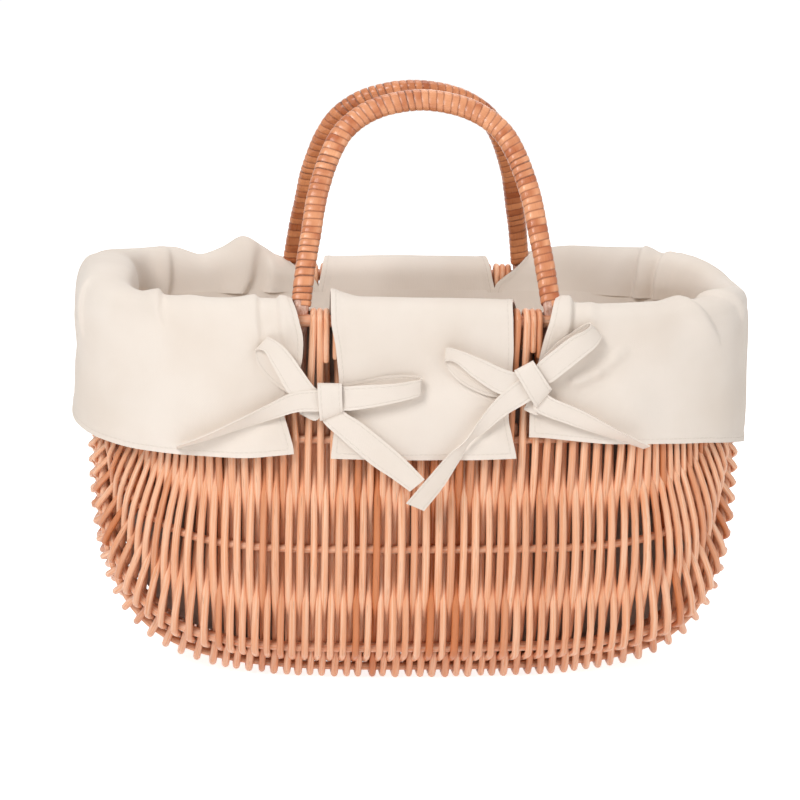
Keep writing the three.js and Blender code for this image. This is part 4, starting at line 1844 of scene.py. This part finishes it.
@dataclass
class SideFlap(Flap):
    """The flap round one end of the basket, from one handle's foot to the other's.

    Its places across are a distance round the rim from the end's middle: minus is the front.
    The cloth lies closer to the wicker by snug, and bulges into the basket by bulge.
    """

    end: End = End.LEFT
    snug: Sequence[Point] = ((0, 0),)
    bulge: Sequence[Point] = ((0, 0),)

    hem_reach: ClassVar[float] = 6
    lift_reach: ClassVar[float] = 4
    facings: ClassVar[tuple[Facing, Facing]] = (Facing.FRONT, Facing.BACK)

    def __post_init__(self) -> None:
        """Reads how long the rim is on this end, and places the folds."""
        self.reach = self.hoops[Facing.FRONT].reach(self.end)
        super().__post_init__()

    def rightwards(self, fold: Fold) -> int:
        """Returns 1 where the run grows with x, or -1."""
        return -self.end * fold.facing

    def run_at(self, x: float, facing: Facing) -> float:
        """Returns the distance round the rim from the end's middle: minus is the front.

        Args:
            x: An x in millimetres, or such a distance plus 1000.
            facing: The facing that the x is on.

        Returns:
            The distance.
        """
        if x > FROM_END / 2:
            return (x - FROM_END) * MM
        mark = abs(self.hoops[facing].mark_at_x(x * MM))
        return facing * (self.reach - mark)

    def across_at(self, x: float, facing: Facing) -> float:
        """Returns the place across the flap of an x in millimetres, on a facing."""
        return self.run_at(x, facing)

    def station(self, run: float) -> Station:
        """Returns the rim's station at a distance round it from the end's middle."""
        hoop = self.hoops[Facing.FRONT if run <= 0 else Facing.BACK]
        return hoop.at(self.end * (self.reach - abs(run)))

    def point(self, across: float, t: float) -> Vector:
        """Returns the cloth's place at a distance round the rim and one along the cloth.

        Args:
            across: The distance round the rim.
            t: The distance along the cloth.

        Returns:
            The place.
        """
        station = self.station(across)
        place = self.cloth_point(station, across, t, self.drop(across), self.lift(across))
        closer = read_smooth(self.snug, across / MM, 6) * MM * soft_step(-20 * MM, 5 * MM, t)
        closer *= 1 - 0.5 * soft_step(35 * MM, 75 * MM, t)
        inwards = read_smooth(self.bulge, across / MM, 6) * MM
        inwards *= soft_step(-10 * MM, -26 * MM, t) * soft_step(-46 * MM, -32 * MM, t)
        return place - station.normal * (closer + inwards)


@dataclass
class LinerBag:
    """The bag inside the wicker: three panels sewn together."""

    wall: Wall
    seam: float = 128.0 * MM
    inset: float = 10.7 * MM
    floor: float = 18.6 * MM
    columns: int = 220
    rows: int = 60
    girth: float = 0.6
    end_width: float = 0.225
    flat_spare: float = 1.01

    # Standing pleats at the back: their x, their height and their width in millimetres.
    back_pleats: ClassVar[tuple[Triple, ...]] = (
        (163.0, 7.0, 4.5),
        (178.0, 6.0, 4.0),
        (-110.0, 3.5, 7.0),
        (-150.0, 3.0, 9.0),
    )

    def point(self, u: float, v: float) -> Vector:
        """Returns a place of the bag by its shares round it and down it.

        Args:
            u: The share round it.
            v: The share down it.

        Returns:
            The place.
        """
        angle = 2 * math.pi * u
        x, y = Wall.rounded_square(angle, self.wall.plan_fullness)
        deepest = self.wall.hoop_height - self.floor
        mouth = TUCK - 1.5 * MM
        share = mix(mouth / deepest, 1.0, 1 - (1 - v) ** 1.9)
        fullness = self.wall.fullness(x)
        reach = (self.wall.half_length - self.inset) * Wall.narrowing(share, fullness)
        spread = (self.wall.half_depth - self.inset) * Wall.narrowing(
            share, self.wall.section_fullness
        )
        point = Vector((x * reach, y * spread, self.wall.hoop_height - share * deepest))
        slack = soft_step(0.0, 0.25, v) * (1 - soft_step(0.8, 1.0, v))
        ripple = noise.noise(Vector((point.x * 22, point.y * 22, point.z * 9)))
        inwards = Vector((-x, -y, 0)).normalized()
        pleats = sum(
            height * math.exp(-(((point.x / MM - place) / width) ** 2))
            for place, height, width in self.back_pleats
        )
        pleats *= soft_step(0.3, 0.8, y) * soft_step(0, 0.06, v) * (1 - soft_step(0.1, 0.75, v))
        return point + inwards * (pleats + (1.2 + 2.2 * ripple) * slack) * MM

    def build(self, cloth: ClothPair) -> None:
        """Builds the three panels, each cut from the same bag.

        Args:
            cloth: The cloth.
        """
        for name, node, low, high in (
            ("liner_panel_left", "liner_left_end", None, -self.seam),
            ("liner_panel_middle", "liner_middle", -self.seam, self.seam),
            ("liner_panel_right", "liner_right_end", self.seam, None),
        ):
            size = (1.1, 0.35)
            piece = shaped_grid(name, self.columns, self.rows, self.point, size)
            tidy_mesh(piece, 0.02 * MM)
            for x, outer in ((low, False), (high, True)):
                if x is not None:
                    self.cut(piece, x, outer)
            set_attribute(piece, "edge", self.edges(piece, low, high))
            area = flat_area(piece)
            middle = Vector((0, 0, self.wall.hoop_height / 2))
            face_towards(piece, lambda p: middle - p)
            line_both_sides(piece, cloth.face, cloth.back)
            thicken(piece, CLOTH)
            tidy_mesh(piece, 0.001 * MM, 60)
            let_ride(piece, Slot.COTTON)
            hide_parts(node)
            width = 2 * self.seam if low is not None and high is not None else self.end_width
            flat = (width, max(self.girth, area / width * self.flat_spare))
            report(piece, area)

    @staticmethod
    def edges(piece: bpy.types.Object, low: Optional[float], high: Optional[float]) -> list[float]:
        """Returns each vertex's distance from the panel's seams, in millimetres."""
        seams = [x for x in (low, high) if x is not None]
        return [
            min(abs(vertex.co.x - x) for x in seams) / MM + 5.0 for vertex in piece.data.vertices
        ]

    @staticmethod
    def cut(piece: bpy.types.Object, x: float, outer: bool) -> None:
        """Cuts a panel off at an x and drops what lies past it.

        Args:
            piece: The panel.
            x: Where to cut.
            outer: Whether what has a greater x goes.
        """
        select_only(piece)
        bpy.ops.object.mode_set(mode="EDIT")
        bpy.ops.mesh.select_all(action="SELECT")
        bpy.ops.mesh.bisect(
            plane_co=(x, 0, 0),
            plane_no=(1, 0, 0),
            clear_outer=outer,
            clear_inner=not outer,
        )
        bpy.ops.object.mode_set(mode="OBJECT")


# The bows.

STRAP = 0.9 * MM
STRAP_WIDTH = 16.0

StrapRows = tuple[tuple[float, float, float, float, float, float], ...]


@dataclass(frozen=True)
class StrapEnd:
    """A line across a strap: its two ends in the photograph, and how far each stands off."""

    first: Point
    second: Point
    first_stand: float
    second_stand: float

    @classmethod
    def rows(cls, table: StrapRows) -> "list[StrapEnd]":
        """Returns the cross lines of a table."""
        return [cls((a, b), (c, d), first, second) for a, b, c, d, first, second in table]


# The straps of the two front bows. Each row is a line across the strap: its two ends as pixels
# of the photograph, and how far each end stands off the flaps in millimetres. A bow has two
# loops and two tails, and a tuck behind its knot.

LEFT_KNOT: StrapRows = (
    (318, 386, 342, 386, 1.0, 1.0),
    (317.5, 383.5, 341.5, 384, 4.5, 4.5),
    (317.5, 387, 342, 386.5, 8.0, 8.0),
    (318, 398, 342, 396, 9.5, 9.0),
    (319, 410, 342.5, 406, 8.5, 8.0),
    (320, 420, 342.5, 411, 5.5, 5.0),
    (321, 419, 342.5, 409, 1.0, 1.0),
)
LEFT_STRAPS: tuple[StrapRows, ...] = (
    (
        (334, 409.5, 334, 386.5, 4.5, 4.5),
        (350, 410.5, 350, 386.3, 6.5, 6.5),
        (370, 407.7, 370, 385, 7.5, 8.5),
        (392, 403.5, 392, 384, 7.5, 9.0),
        (411, 398.8, 411, 381.3, 6.0, 7.5),
        (420, 395.5, 420.8, 379.4, 4.0, 5.5),
        (417, 395, 417.6, 376.3, 1.8, 3.0),
        (402, 398, 403, 375, 1.2, 1.6),
        (382, 401, 383, 376.3, 1.2, 1.4),
        (360, 405, 361, 380.8, 1.5, 1.6),
        (336, 408, 336, 385.5, 2.5, 2.5),
    ),
    (
        (326, 401, 326, 392, 4.0, 4.0),
        (305, 404, 315, 387.5, 5.5, 6.0),
        (289, 393.7, 303.3, 372.2, 6.5, 8.0),
        (280.8, 380.4, 296, 361.5, 7.5, 8.5),
        (272.7, 366, 287, 350, 8.0, 8.0),
        (264.5, 351.8, 277.5, 341.8, 6.5, 6.0),
        (256.5, 350, 269, 337.5, 3.5, 3.0),
        (255.3, 354, 268, 340, 1.6, 1.5),
        (258.5, 366, 273, 350, 1.2, 1.2),
        (270, 380, 285, 363, 1.2, 1.2),
        (288, 393.5, 302, 376, 1.5, 1.5),
        (310, 404, 318, 392, 2.5, 2.5),
    ),
    (
        (334, 409, 334, 389, 5.5, 5.5),
        (319.8, 411.3, 317, 389.8, 7.0, 7.0),
        (297.5, 412, 292, 392.8, 5.5, 7.0),
        (274.3, 418.4, 265.4, 405.9, 4.0, 9.0),
        (238.6, 429, 238.6, 419.6, 2.0, 12.5),
        (205, 440.5, 205, 435.6, 1.0, 14.0),
        (176.5, 448.2, 176, 446.2, 0.8, 15.0),
    ),
    (
        (323, 404, 338, 394, 3.5, 3.5),
        (322, 420, 344, 411, 3.0, 3.5),
        (342, 439.6, 362.4, 423.3, 2.0, 3.0),
        (370.6, 464, 391, 446.5, 2.0, 3.5),
        (392, 478.5, 409, 463, 3.0, 4.5),
        (410, 491.6, 424.7, 479.4, 5.0, 6.0),
    ),
    (
        (322, 396, 330, 390, 2.5, 2.5),
        (303, 411, 318, 419.5, 1.2, 1.5),
        (293, 398, 300, 414, 0.6, 0.8),
    ),
)
RIGHT_KNOT: StrapRows = (
    (516, 373, 534.5, 364, 1.0, 1.0),
    (514.4, 371, 533.3, 361, 4.5, 4.5),
    (516, 374, 535.5, 364.5, 8.0, 8.0),
    (522.5, 385, 541.5, 373.5, 9.5, 9.5),
    (529, 396.5, 547, 382, 9.0, 9.0),
    (535.4, 406.6, 551.5, 388.5, 6.0, 6.0),
    (535, 406, 551, 388, 1.0, 1.0),
)
RIGHT_STRAPS: tuple[StrapRows, ...] = (
    (
        (521, 386, 530, 370, 4.0, 4.5),
        (512, 391, 520, 373, 5.5, 6.0),
        (499, 393.7, 504, 369, 6.5, 7.5),
        (474.7, 378.4, 484, 360, 7.0, 8.5),
        (456.3, 363, 463, 351.6, 6.5, 7.5),
        (447, 361, 449, 347.5, 4.0, 4.5),
        (445.5, 364.5, 447, 350, 1.6, 2.0),
        (455, 378, 461, 360, 1.2, 1.2),
        (470.6, 388.8, 480, 370, 1.2, 1.2),
        (495, 397, 504, 378, 1.6, 1.6),
        (520, 392, 526, 380, 2.5, 2.5),
    ),
    (
        (541, 384, 531, 374, 4.0, 4.0),
        (550.6, 382.6, 538.5, 363, 6.0, 6.0),
        (566.3, 371, 554.7, 349.4, 7.5, 7.5),
        (582.9, 357.7, 571.3, 337, 8.0, 8.5),
        (595, 347.5, 584, 331, 6.5, 7.5),
        (601, 338.5, 590.8, 325.5, 4.0, 4.5),
        (598.5, 336, 587, 323.2, 1.8, 2.0),
        (584, 350, 571.3, 332.6, 1.2, 1.4),
        (566, 364, 554.7, 344.8, 1.2, 1.4),
        (546, 380, 536, 366, 2.5, 2.5),
    ),
    (
        (529, 377, 540, 392, 4.5, 4.5),
        (516.5, 381.5, 530.6, 400.5, 6.5, 6.5),
        (497.5, 397.5, 507, 414.5, 6.5, 6.0),
        (480.5, 418.5, 488.5, 429, 7.0, 4.0),
        (466, 440, 470.5, 441.8, 8.5, 2.5),
        (449, 454.5, 458.5, 462, 6.5, 2.5),
        (428, 478, 443.5, 486.5, 6.0, 3.5),
        (406, 503.5, 424, 511, 7.0, 6.0),
    ),
    (
        (533, 398, 545, 388, 3.0, 3.0),
        (536, 411.5, 552, 397.5, 3.5, 4.0),
        (566.3, 423.5, 583, 410.8, 2.0, 6.0),
        (599.5, 434, 616, 429, 1.5, 8.5),
        (625, 442, 637, 440, 1.2, 10.0),
        (643.5, 448.4, 650, 446.2, 1.0, 10.5),
    ),
    (
        (534, 392, 544, 400, 2.0, 2.0),
        (524, 409, 536, 415, 1.6, 1.6),
        (534, 404, 546, 409, 1.0, 1.0),
    ),
)


@dataclass
class Bow:
    """A bow of two straps: a knot, two loops and two tails, measured in the photograph."""

    name: str
    node: str
    knot: StrapRows
    straps: Sequence[StrapRows]
    turned: bool
    place: Callable[[Point, float], Vector]
    area: float = field(default=0.0, init=False)

    def strap(self, name: str, rows: StrapRows, cloth: ClothPair) -> bpy.types.Object:
        """Lofts one strap through its cross lines.

        Args:
            name: The strap's name.
            rows: The cross lines in order.
            cloth: The face and the back of the cloth.

        Returns:
            The strap, with its thickness.
        """
        steps = 7
        ends = StrapEnd.rows(rows)
        firsts = curve_through([self.place(e.first, e.first_stand) for e in ends], steps)
        seconds = curve_through([self.place(e.second, e.second_stand) for e in ends], steps)
        count = len(firsts) - 1
        length = sum((b - a).length for a, b in zip(firsts, firsts[1:]))
        columns = 6
        size = (STRAP_WIDTH * MM, length)

        def place(u: float, v: float) -> Vector:
            """Returns a point of the strap by its shares across and along it."""
            i = round(v * count)
            return firsts[i].lerp(seconds[i], u)

        piece = shaped_grid(name, columns, count, place, size)
        shares = grid_shares(piece, size)
        edges = [min(u, 1 - u) * STRAP_WIDTH + 1.4 for u, _ in shares]
        set_attribute(piece, "edge", edges)
        self.area += flat_area(piece)
        front_face = max(piece.data.polygons, key=lambda face: -face.center.y)
        if front_face.normal.y > 0:
            piece.data.flip_normals()
        line_both_sides(piece, cloth.face, cloth.back)
        thicken(piece, STRAP)
        return piece

    def build(self, cloth: ClothPair) -> None:
        """Builds the bow as one piece.

        Args:
            cloth: The cloth.
        """
        parts = [
            self.strap(f"{self.name}_{i}", rows, cloth) for i, rows in enumerate(self.straps)
        ]
        parts.append(self.strap(f"{self.name}_knot", self.knot, cloth))
        bpy.ops.object.select_all(action="DESELECT")
        for part in parts:
            part.select_set(True)
        bow = parts[-1]
        bpy.context.view_layer.objects.active = bow
        bpy.ops.object.join()
        bow.name = self.name
        bow.data.name = self.name
        if self.turned:
            bow.data.transform(Matrix.Rotation(math.pi, 4, "Z"))
        tidy_mesh(bow, 0.001 * MM, 50)
        let_ride(bow, Slot.COTTON)
        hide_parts(self.node)
        report(bow, self.area)


# The photograph's point of view, the light and the floor.


@dataclass(frozen=True)
class PointOfView:
    """The camera: where it looks, from how far, and how it is turned."""

    focal: float = 2860.0
    frame: float = 800.0
    azimuth: float = -4.09
    elevation: float = 11.52
    roll: float = 0.87
    distance: float = 1900.6 * MM
    target: Triple = (-9.24 * MM, 0.0, 174.12 * MM)

    def axes(self) -> tuple[Vector, Vector, Vector]:
        """Returns the camera's right, up and backward directions."""
        a, e, r = (math.radians(x) for x in (self.azimuth, self.elevation, self.roll))
        back = Vector((math.sin(a) * math.cos(e), -math.cos(a) * math.cos(e), math.sin(e)))
        right = UP.cross(back).normalized()
        up = back.cross(right)
        return (
            right * math.cos(r) + up * math.sin(r),
            up * math.cos(r) - right * math.sin(r),
            back,
        )

    @property
    def position(self) -> Vector:
        """Where the camera stands."""
        return Vector(self.target) + self.axes()[2] * self.distance

    def at_depth(self, pixel: Point, y: float) -> Vector:
        """Returns the point that a pixel shows on an upright plane at a depth.

        Args:
            pixel: The pixel.
            y: The depth.

        Returns:
            The point.
        """
        right, up, back = self.axes()
        half = self.frame / 2
        ray = right * (pixel[0] - half) + up * (half - pixel[1]) - back * self.focal
        return self.position + ray * ((y - self.position.y) / ray.y)

    def build(self) -> None:
        """Adds the camera."""
        bpy.ops.object.camera_add(location=self.position)
        camera = bpy.context.object
        camera.name = "camera"
        right, up, back = self.axes()
        camera.rotation_euler = Matrix((right, up, back)).transposed().to_euler()
        camera.data.sensor_width = 36.0
        camera.data.lens = self.focal * 36.0 / self.frame
        camera.data.clip_end = 50.0
        bpy.context.scene.camera = camera


@dataclass(frozen=True)
class Lamp:
    """A round area lamp that looks at the basket."""

    name: str
    place: Triple
    size: float
    power: float
    looks_at: Triple = (0.0, 0.0, 0.18)

    def build(self) -> None:
        """Adds the lamp."""
        bpy.ops.object.light_add(type="AREA", location=self.place)
        lamp = bpy.context.object
        lamp.name = self.name
        lamp.data.energy = self.power
        lamp.data.shape = "DISK"
        lamp.data.size = self.size
        aim = Vector(self.looks_at) - Vector(self.place)
        lamp.rotation_euler = aim.to_track_quat("-Z", "Y").to_euler()


@dataclass(frozen=True)
class Studio:
    """A white floor and world, and soft lamps."""

    floor_size: float = 30.0
    world_light: float = 0.25
    floor_light: float = 0.32
    floor_white: float = 0.83
    floor_grey: float = 0.8

    lamps: ClassVar[tuple[Lamp, ...]] = (
        Lamp("key_lamp", (-1.2, -1.9, 1.7), 1.1, 37.0),
        Lamp("fill_lamp", (1.9, -1.6, 1.1), 1.4, 11.0),
        Lamp("top_lamp", (0.1, 0.3, 2.2), 1.4, 14.5),
        Lamp("back_lamp", (0.6, 2.2, 1.6), 1.6, 9.0),
    )

    def build(self) -> None:
        """Builds the world, the floor and the lamps."""
        bpy.context.scene.view_settings.view_transform = "Standard"
        self.build_world()
        self.build_floor()
        for lamp in self.lamps:
            lamp.build()

    @staticmethod
    def seen_directly(tree: bpy.types.NodeTree) -> bpy.types.NodeSocket:
        """Returns 1 for rays from the camera, from mirrors and through glass.

        Args:
            tree: The node tree.

        Returns:
            The socket.
        """
        path = tree.nodes.new("ShaderNodeLightPath")
        total = path.outputs["Is Camera Ray"]
        for name in ("Is Glossy Ray", "Is Transmission Ray"):
            node = tree.nodes.new("ShaderNodeMath")
            node.operation = "MAXIMUM"
            tree.links.new(total, node.inputs[0])
            tree.links.new(path.outputs[name], node.inputs[1])
            total = node.outputs[0]
        return total

    def build_world(self) -> None:
        """Makes the world white to the camera and a soft light to the object."""
        world = bpy.data.worlds.new("studio_world")
        bpy.context.scene.world = world
        world.use_nodes = True
        tree = world.node_tree
        background = tree.nodes["Background"]
        background.inputs["Color"].default_value = (1, 1, 1, 1)
        span = tree.nodes.new("ShaderNodeMapRange")
        tree.links.new(self.seen_directly(tree), span.inputs["Value"])
        span.inputs["To Min"].default_value = self.world_light
        span.inputs["To Max"].default_value = 1.0
        tree.links.new(span.outputs["Result"], background.inputs["Strength"])

    def build_floor(self) -> None:
        """Lays a pale floor that looks white but keeps the shadow."""
        bpy.ops.mesh.primitive_plane_add(size=self.floor_size, location=(0, 0, 0))
        floor = bpy.context.object
        floor.name = "floor"
        material = bpy.data.materials.new("studio_floor")
        material.use_nodes = True
        tree = material.node_tree
        shader = tree.nodes["Principled BSDF"]
        grey = self.floor_grey
        shader.inputs["Base Color"].default_value = (grey, grey, grey, 1)
        shader.inputs["Roughness"].default_value = 1.0
        shader.inputs["Specular IOR Level"].default_value = 0.0
        shader.inputs["Emission Color"].default_value = (1, 1, 1, 1)
        span = tree.nodes.new("ShaderNodeMapRange")
        tree.links.new(self.seen_directly(tree), span.inputs["Value"])
        span.inputs["To Min"].default_value = self.floor_light
        span.inputs["To Max"].default_value = self.floor_white
        tree.links.new(span.outputs["Result"], shader.inputs["Emission Strength"])
        floor.data.materials.append(material)


@dataclass
class BasketBag:
    """The whole bag: wicker, handles, liner, flaps and bows."""

    view: PointOfView

    def __post_init__(self) -> None:
        """Reads the wall off the frame."""
        self.wall = Wall.of_frame()
        self.wicker = Wicker(self.wall)

    def build(self) -> None:
        """Builds everything in order."""
        willow = PeeledWillow().make()
        cut = CutWood().make()
        front_skein = BindingSkein("front_skein", (244, 174, 128), (186, 102, 58)).make()
        back_skein = BindingSkein("back_skein", (232, 154, 104), (168, 88, 46)).make()
        cotton = Calico("cream_calico", (238, 227, 216), (231, 218, 205)).make()
        # Painted shade: the back of the liner and of the flaps is the cream calico made darker and
        # greyer. It stands for the shade on the liner's outside, seen between the rods, and on the
        # flaps' underside.
        shaded_calico = Calico("calico_reverse", (172, 156, 144), (150, 134, 124)).make()
        cloth = ClothPair(cotton, shaded_calico)
        self.wicker.build(willow)
        Handle(self.wall, Facing.FRONT).build(front_skein, cut)
        Handle(self.wall, Facing.BACK).build(back_skein, cut)
        LinerBag(self.wall).build(cloth)
        for flap in self.flaps():
            flap.build(cloth)
        for bow in self.bows():
            bow.build(ClothPair(cotton, cotton))

    def flaps(self) -> list[Flap]:
        """Returns the four flaps with their edges, hems, rises and folds."""
        common = (self.wall, self.wicker.hoops)
        back_side = Facing.BACK
        centre_left = (
            (-44, -62), (-34, -61), (-16, -60.5), (0, -60), (14, -57), (36, -54.5),
            (60, -56.5), (86, -59.5),
        )
        centre_right = (
            (-44, 62), (-34, 60), (-16, 54), (-10, 53), (17, 54), (40, 53), (60, 51), (86, 57),
        )
        front = MiddleFlap(
            "front_middle_flap",
            "front_flap",
            *common,
            columns=66,
            rows=64,
            folds=(
                Fold((-50, 215), (0, 178), 2.2, 16),
                Fold((52, 190), (10, 205), 1.8, 12),
                Fold((-56, 175), (-10, 165), 1.6, 10),
                Fold((48, 172), (20, 160), 1.6, 9),
                Fold((-30, 240), (25, 236), 0.8, 14),
            ),
            wobble=0.7,
            facing=Facing.FRONT,
            first_edge=centre_left,
            last_edge=centre_right,
            hem=((-60, 85), (0, 86), (60, 85)),
            lifts=((-60, 9.5), (-52, 7), (-44, 4.5), (-20, 4), (40, 3.5), (56, 2.5)),
        )
        back = MiddleFlap(
            "back_middle_flap",
            "back_flap",
            *common,
            columns=60,
            rows=60,
            folds=(
                Fold((50, 215), (0, 185), 2.2, 16, back_side),
                Fold((-50, 200), (-10, 180), 1.8, 12, back_side),
                Fold((56, 175), (15, 165), 1.6, 10, back_side),
            ),
            wobble=0.8,
            facing=Facing.BACK,
            first_edge=((-44, -62), (-34, -60), (-16, -56), (0, -54), (10, -56), (86, -57)),
            last_edge=((-44, 62), (-34, 59.5), (-16, 55), (0, 52), (10, 55), (86, 57)),
            hem=((-60, 85), (0, 86), (60, 85)),
            lifts=((-60, 2), (0, 3), (60, 2)),
        )
        left = SideFlap(
            "left_side_flap",
            "left_flap",
            *common,
            columns=320,
            rows=84,
            folds=(
                Fold((-169, 264), (-161, 240), 3.4, 5.5, lean=0.72),
                Fold((-150, 262), (-140, 236), 1.2, 8),
                Fold((-205, 252), (-204, 226), 2.4, 4.5, lean=0.72),
                Fold((-108, 262), (-104, 232), 2.8, 6.0, lean=0.7),
                Fold((-92, 262), (-88, 232), 3.2, 5.0, lean=-0.68),
                Fold((-97, 240), (-100, 215), 1.6, 5.0, lean=-0.5),
                Fold((-195, 170), (-90, 196), 2.6, 18),
                Fold((-150, 232), (-88, 200), 2.2, 14),
                Fold((-90, 176), (-130, 164), 2.0, 10),
                Fold((1018, 254), (1002, 215), 2.4, 7),
                Fold((985, 250), (992, 210), -2.0, 8),
                Fold((-115, 262), (-110, 225), 3.4, 9, back_side),
                Fold((-118, 292), (-104, 264), 4.5, 7, back_side, 0.6),
                Fold((-96, 292), (-92, 268), 3.0, 6, back_side, -0.5),
                Fold((-172, 292), (-166, 262), 3.5, 7, back_side, 0.6),
                Fold((-160, 258), (-150, 215), 2.6, 10, back_side),
                Fold((-190, 250), (-196, 200), 2.4, 8, back_side),
            ),
            wobble=1.2,
            end=End.LEFT,
            first_edge=(
                (-44, -60), (-34, -63), (-25, -78), (-16, -86), (-5, -81), (9, -77), (20, -77),
                (29, -78), (57, -89), (82, -82),
            ),
            last_edge=(
                (-44, -60), (-34, -63), (-25, -78), (-16, -86), (8, -80), (28, -80), (57, -88),
                (82, -82),
            ),
            hem=(
                (-190, 81), (-150, 85.5), (-110, 85), (-80, 83.5), (-50, 79), (-20, 73),
                (0, 70), (20, 69), (60, 76), (110, 83), (190, 81),
            ),
            lifts=(
                (-185, 0), (-165, 3), (-125, 2.5), (-100, 2), (-78, 3), (-45, 8), (-20, 13),
                (10, 15), (40, 14.5), (62, 12), (90, 10.5), (105, 8), (119, 4), (132, 8.5),
                (150, 14), (163, 9), (170, 3), (185, -1),
            ),
            snug=((-70, 0), (-40, -2), (0, -2.6), (40, -2), (70, 0)),
            bulge=((-75, 0), (-45, 9), (-15, 16), (15, 16), (45, 10), (75, 0)),
        )
        right = SideFlap(
            "right_side_flap",
            "right_flap",
            *common,
            columns=320,
            rows=84,
            folds=(
                Fold((91, 264), (86, 234), 4.6, 7.5, lean=0.78),
                Fold((104, 261), (102, 244), 1.2, 4.0),
                Fold((91, 206), (108, 213), 2.6, 3.6),
                Fold((106, 212), (124, 226), 2.4, 4.0),
                Fold((96, 198), (116, 206), -1.2, 4.5),
                Fold((110, 178), (140, 196), 2.4, 14),
                Fold((90, 226), (74, 208), 2.0, 7),
                Fold((182, 268), (201, 240), 3.4, 5.0, lean=-0.7),
                Fold((160, 266), (182, 230), 3.0, 6.0, lean=0.7),
                Fold((966, 240), (968, 165), 1.8, 3.5),
                Fold((958, 236), (960, 165), 1.0, 4.0),
                Fold((160, 294), (165, 262), 6.5, 6.0, back_side, -0.65),
                Fold((174, 294), (180, 262), 5.5, 5.0, back_side, -0.65),
                Fold((150, 294), (140, 270), 2.0, 12.0, back_side),
                Fold((110, 258), (120, 210), 1.8, 14, back_side),
                Fold((186, 258), (190, 215), -2.6, 5, back_side),
            ),
            wobble=0.8,
            flare=0.5,
            end=End.RIGHT,
            first_edge=(
                (-44, 60), (-34, 63), (-25, 78), (-16, 84), (-8, 80), (6, 75.6), (18, 73),
                (40, 69), (72, 65),
            ),
            last_edge=((-44, 60), (-34, 63), (-25, 78), (-16, 86), (8, 80), (28, 78), (72, 72)),
            hem=(
                (-190, 72), (-150, 77), (-110, 79), (-80, 81), (-60, 84), (-40, 88), (-20, 92),
                (0, 93), (40, 86), (110, 78), (190, 74),
            ),
            lifts=(
                (-190, -0.5), (-175, 1.5), (-163, 1), (-155, 0), (-120, 0), (-80, 0),
                (-62, 1.5), (-48, 3), (-32, 1.5), (-15, -0.5), (20, 0), (50, 7), (70, 11),
                (82, 8), (92, 12), (140, 10), (165, 8.5), (185, 3),
            ),
            snug=((-62, 0), (-45, 3.0), (0, 3.5), (45, 3.0), (62, 0)),
            bulge=((20, 0), (45, 3), (75, 4), (100, 2), (120, 0)),
        )
        return [front, back, left, right]

    def on_cover(self, pixel: Point, stand: float) -> Vector:
        """Returns the place that a pixel shows, standing a number of millimetres off the flaps.

        Args:
            pixel: The pixel.
            stand: The millimetres.

        Returns:
            The place.
        """
        point = self.view.at_depth(pixel, -112 * MM)
        for _ in range(3):
            hoop = self.wicker.hoops[Facing.FRONT]
            station = hoop.at(hoop.mark_at_x(point.x))
            depth = self.wall.hoop_height - point.z
            share = clamp(depth / (86 * MM), 0, 1.3)
            cover = FOLD_RADIUS + (4 * share**2 + 2.6 + stand) * MM
            point = self.view.at_depth(pixel, station.point.y - cover)
        return point

    def bows(self) -> list[Bow]:
        """Returns the four bows; those on the back are the front ones turned round."""
        bows = []
        for word, knot, straps in (
            ("left", LEFT_KNOT, LEFT_STRAPS),
            ("right", RIGHT_KNOT, RIGHT_STRAPS),
        ):
            for facing in Facing:
                name = f"{facing.word}_{word}_tie"
                node = f"{facing.word}_{word}_bow"
                turned = facing is Facing.BACK
                bows.append(Bow(name, node, knot, straps, turned, self.on_cover))
        return bows


def main() -> None:
    """Builds the scene round the frame."""
    logging.basicConfig(level=logging.INFO, format="%(name)s: %(message)s")
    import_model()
    bpy.ops.object.select_all(action="DESELECT")
    view = PointOfView()
    view.build()
    Studio().build()
    BasketBag(view).build()


if __name__ == "__main__":
    main()
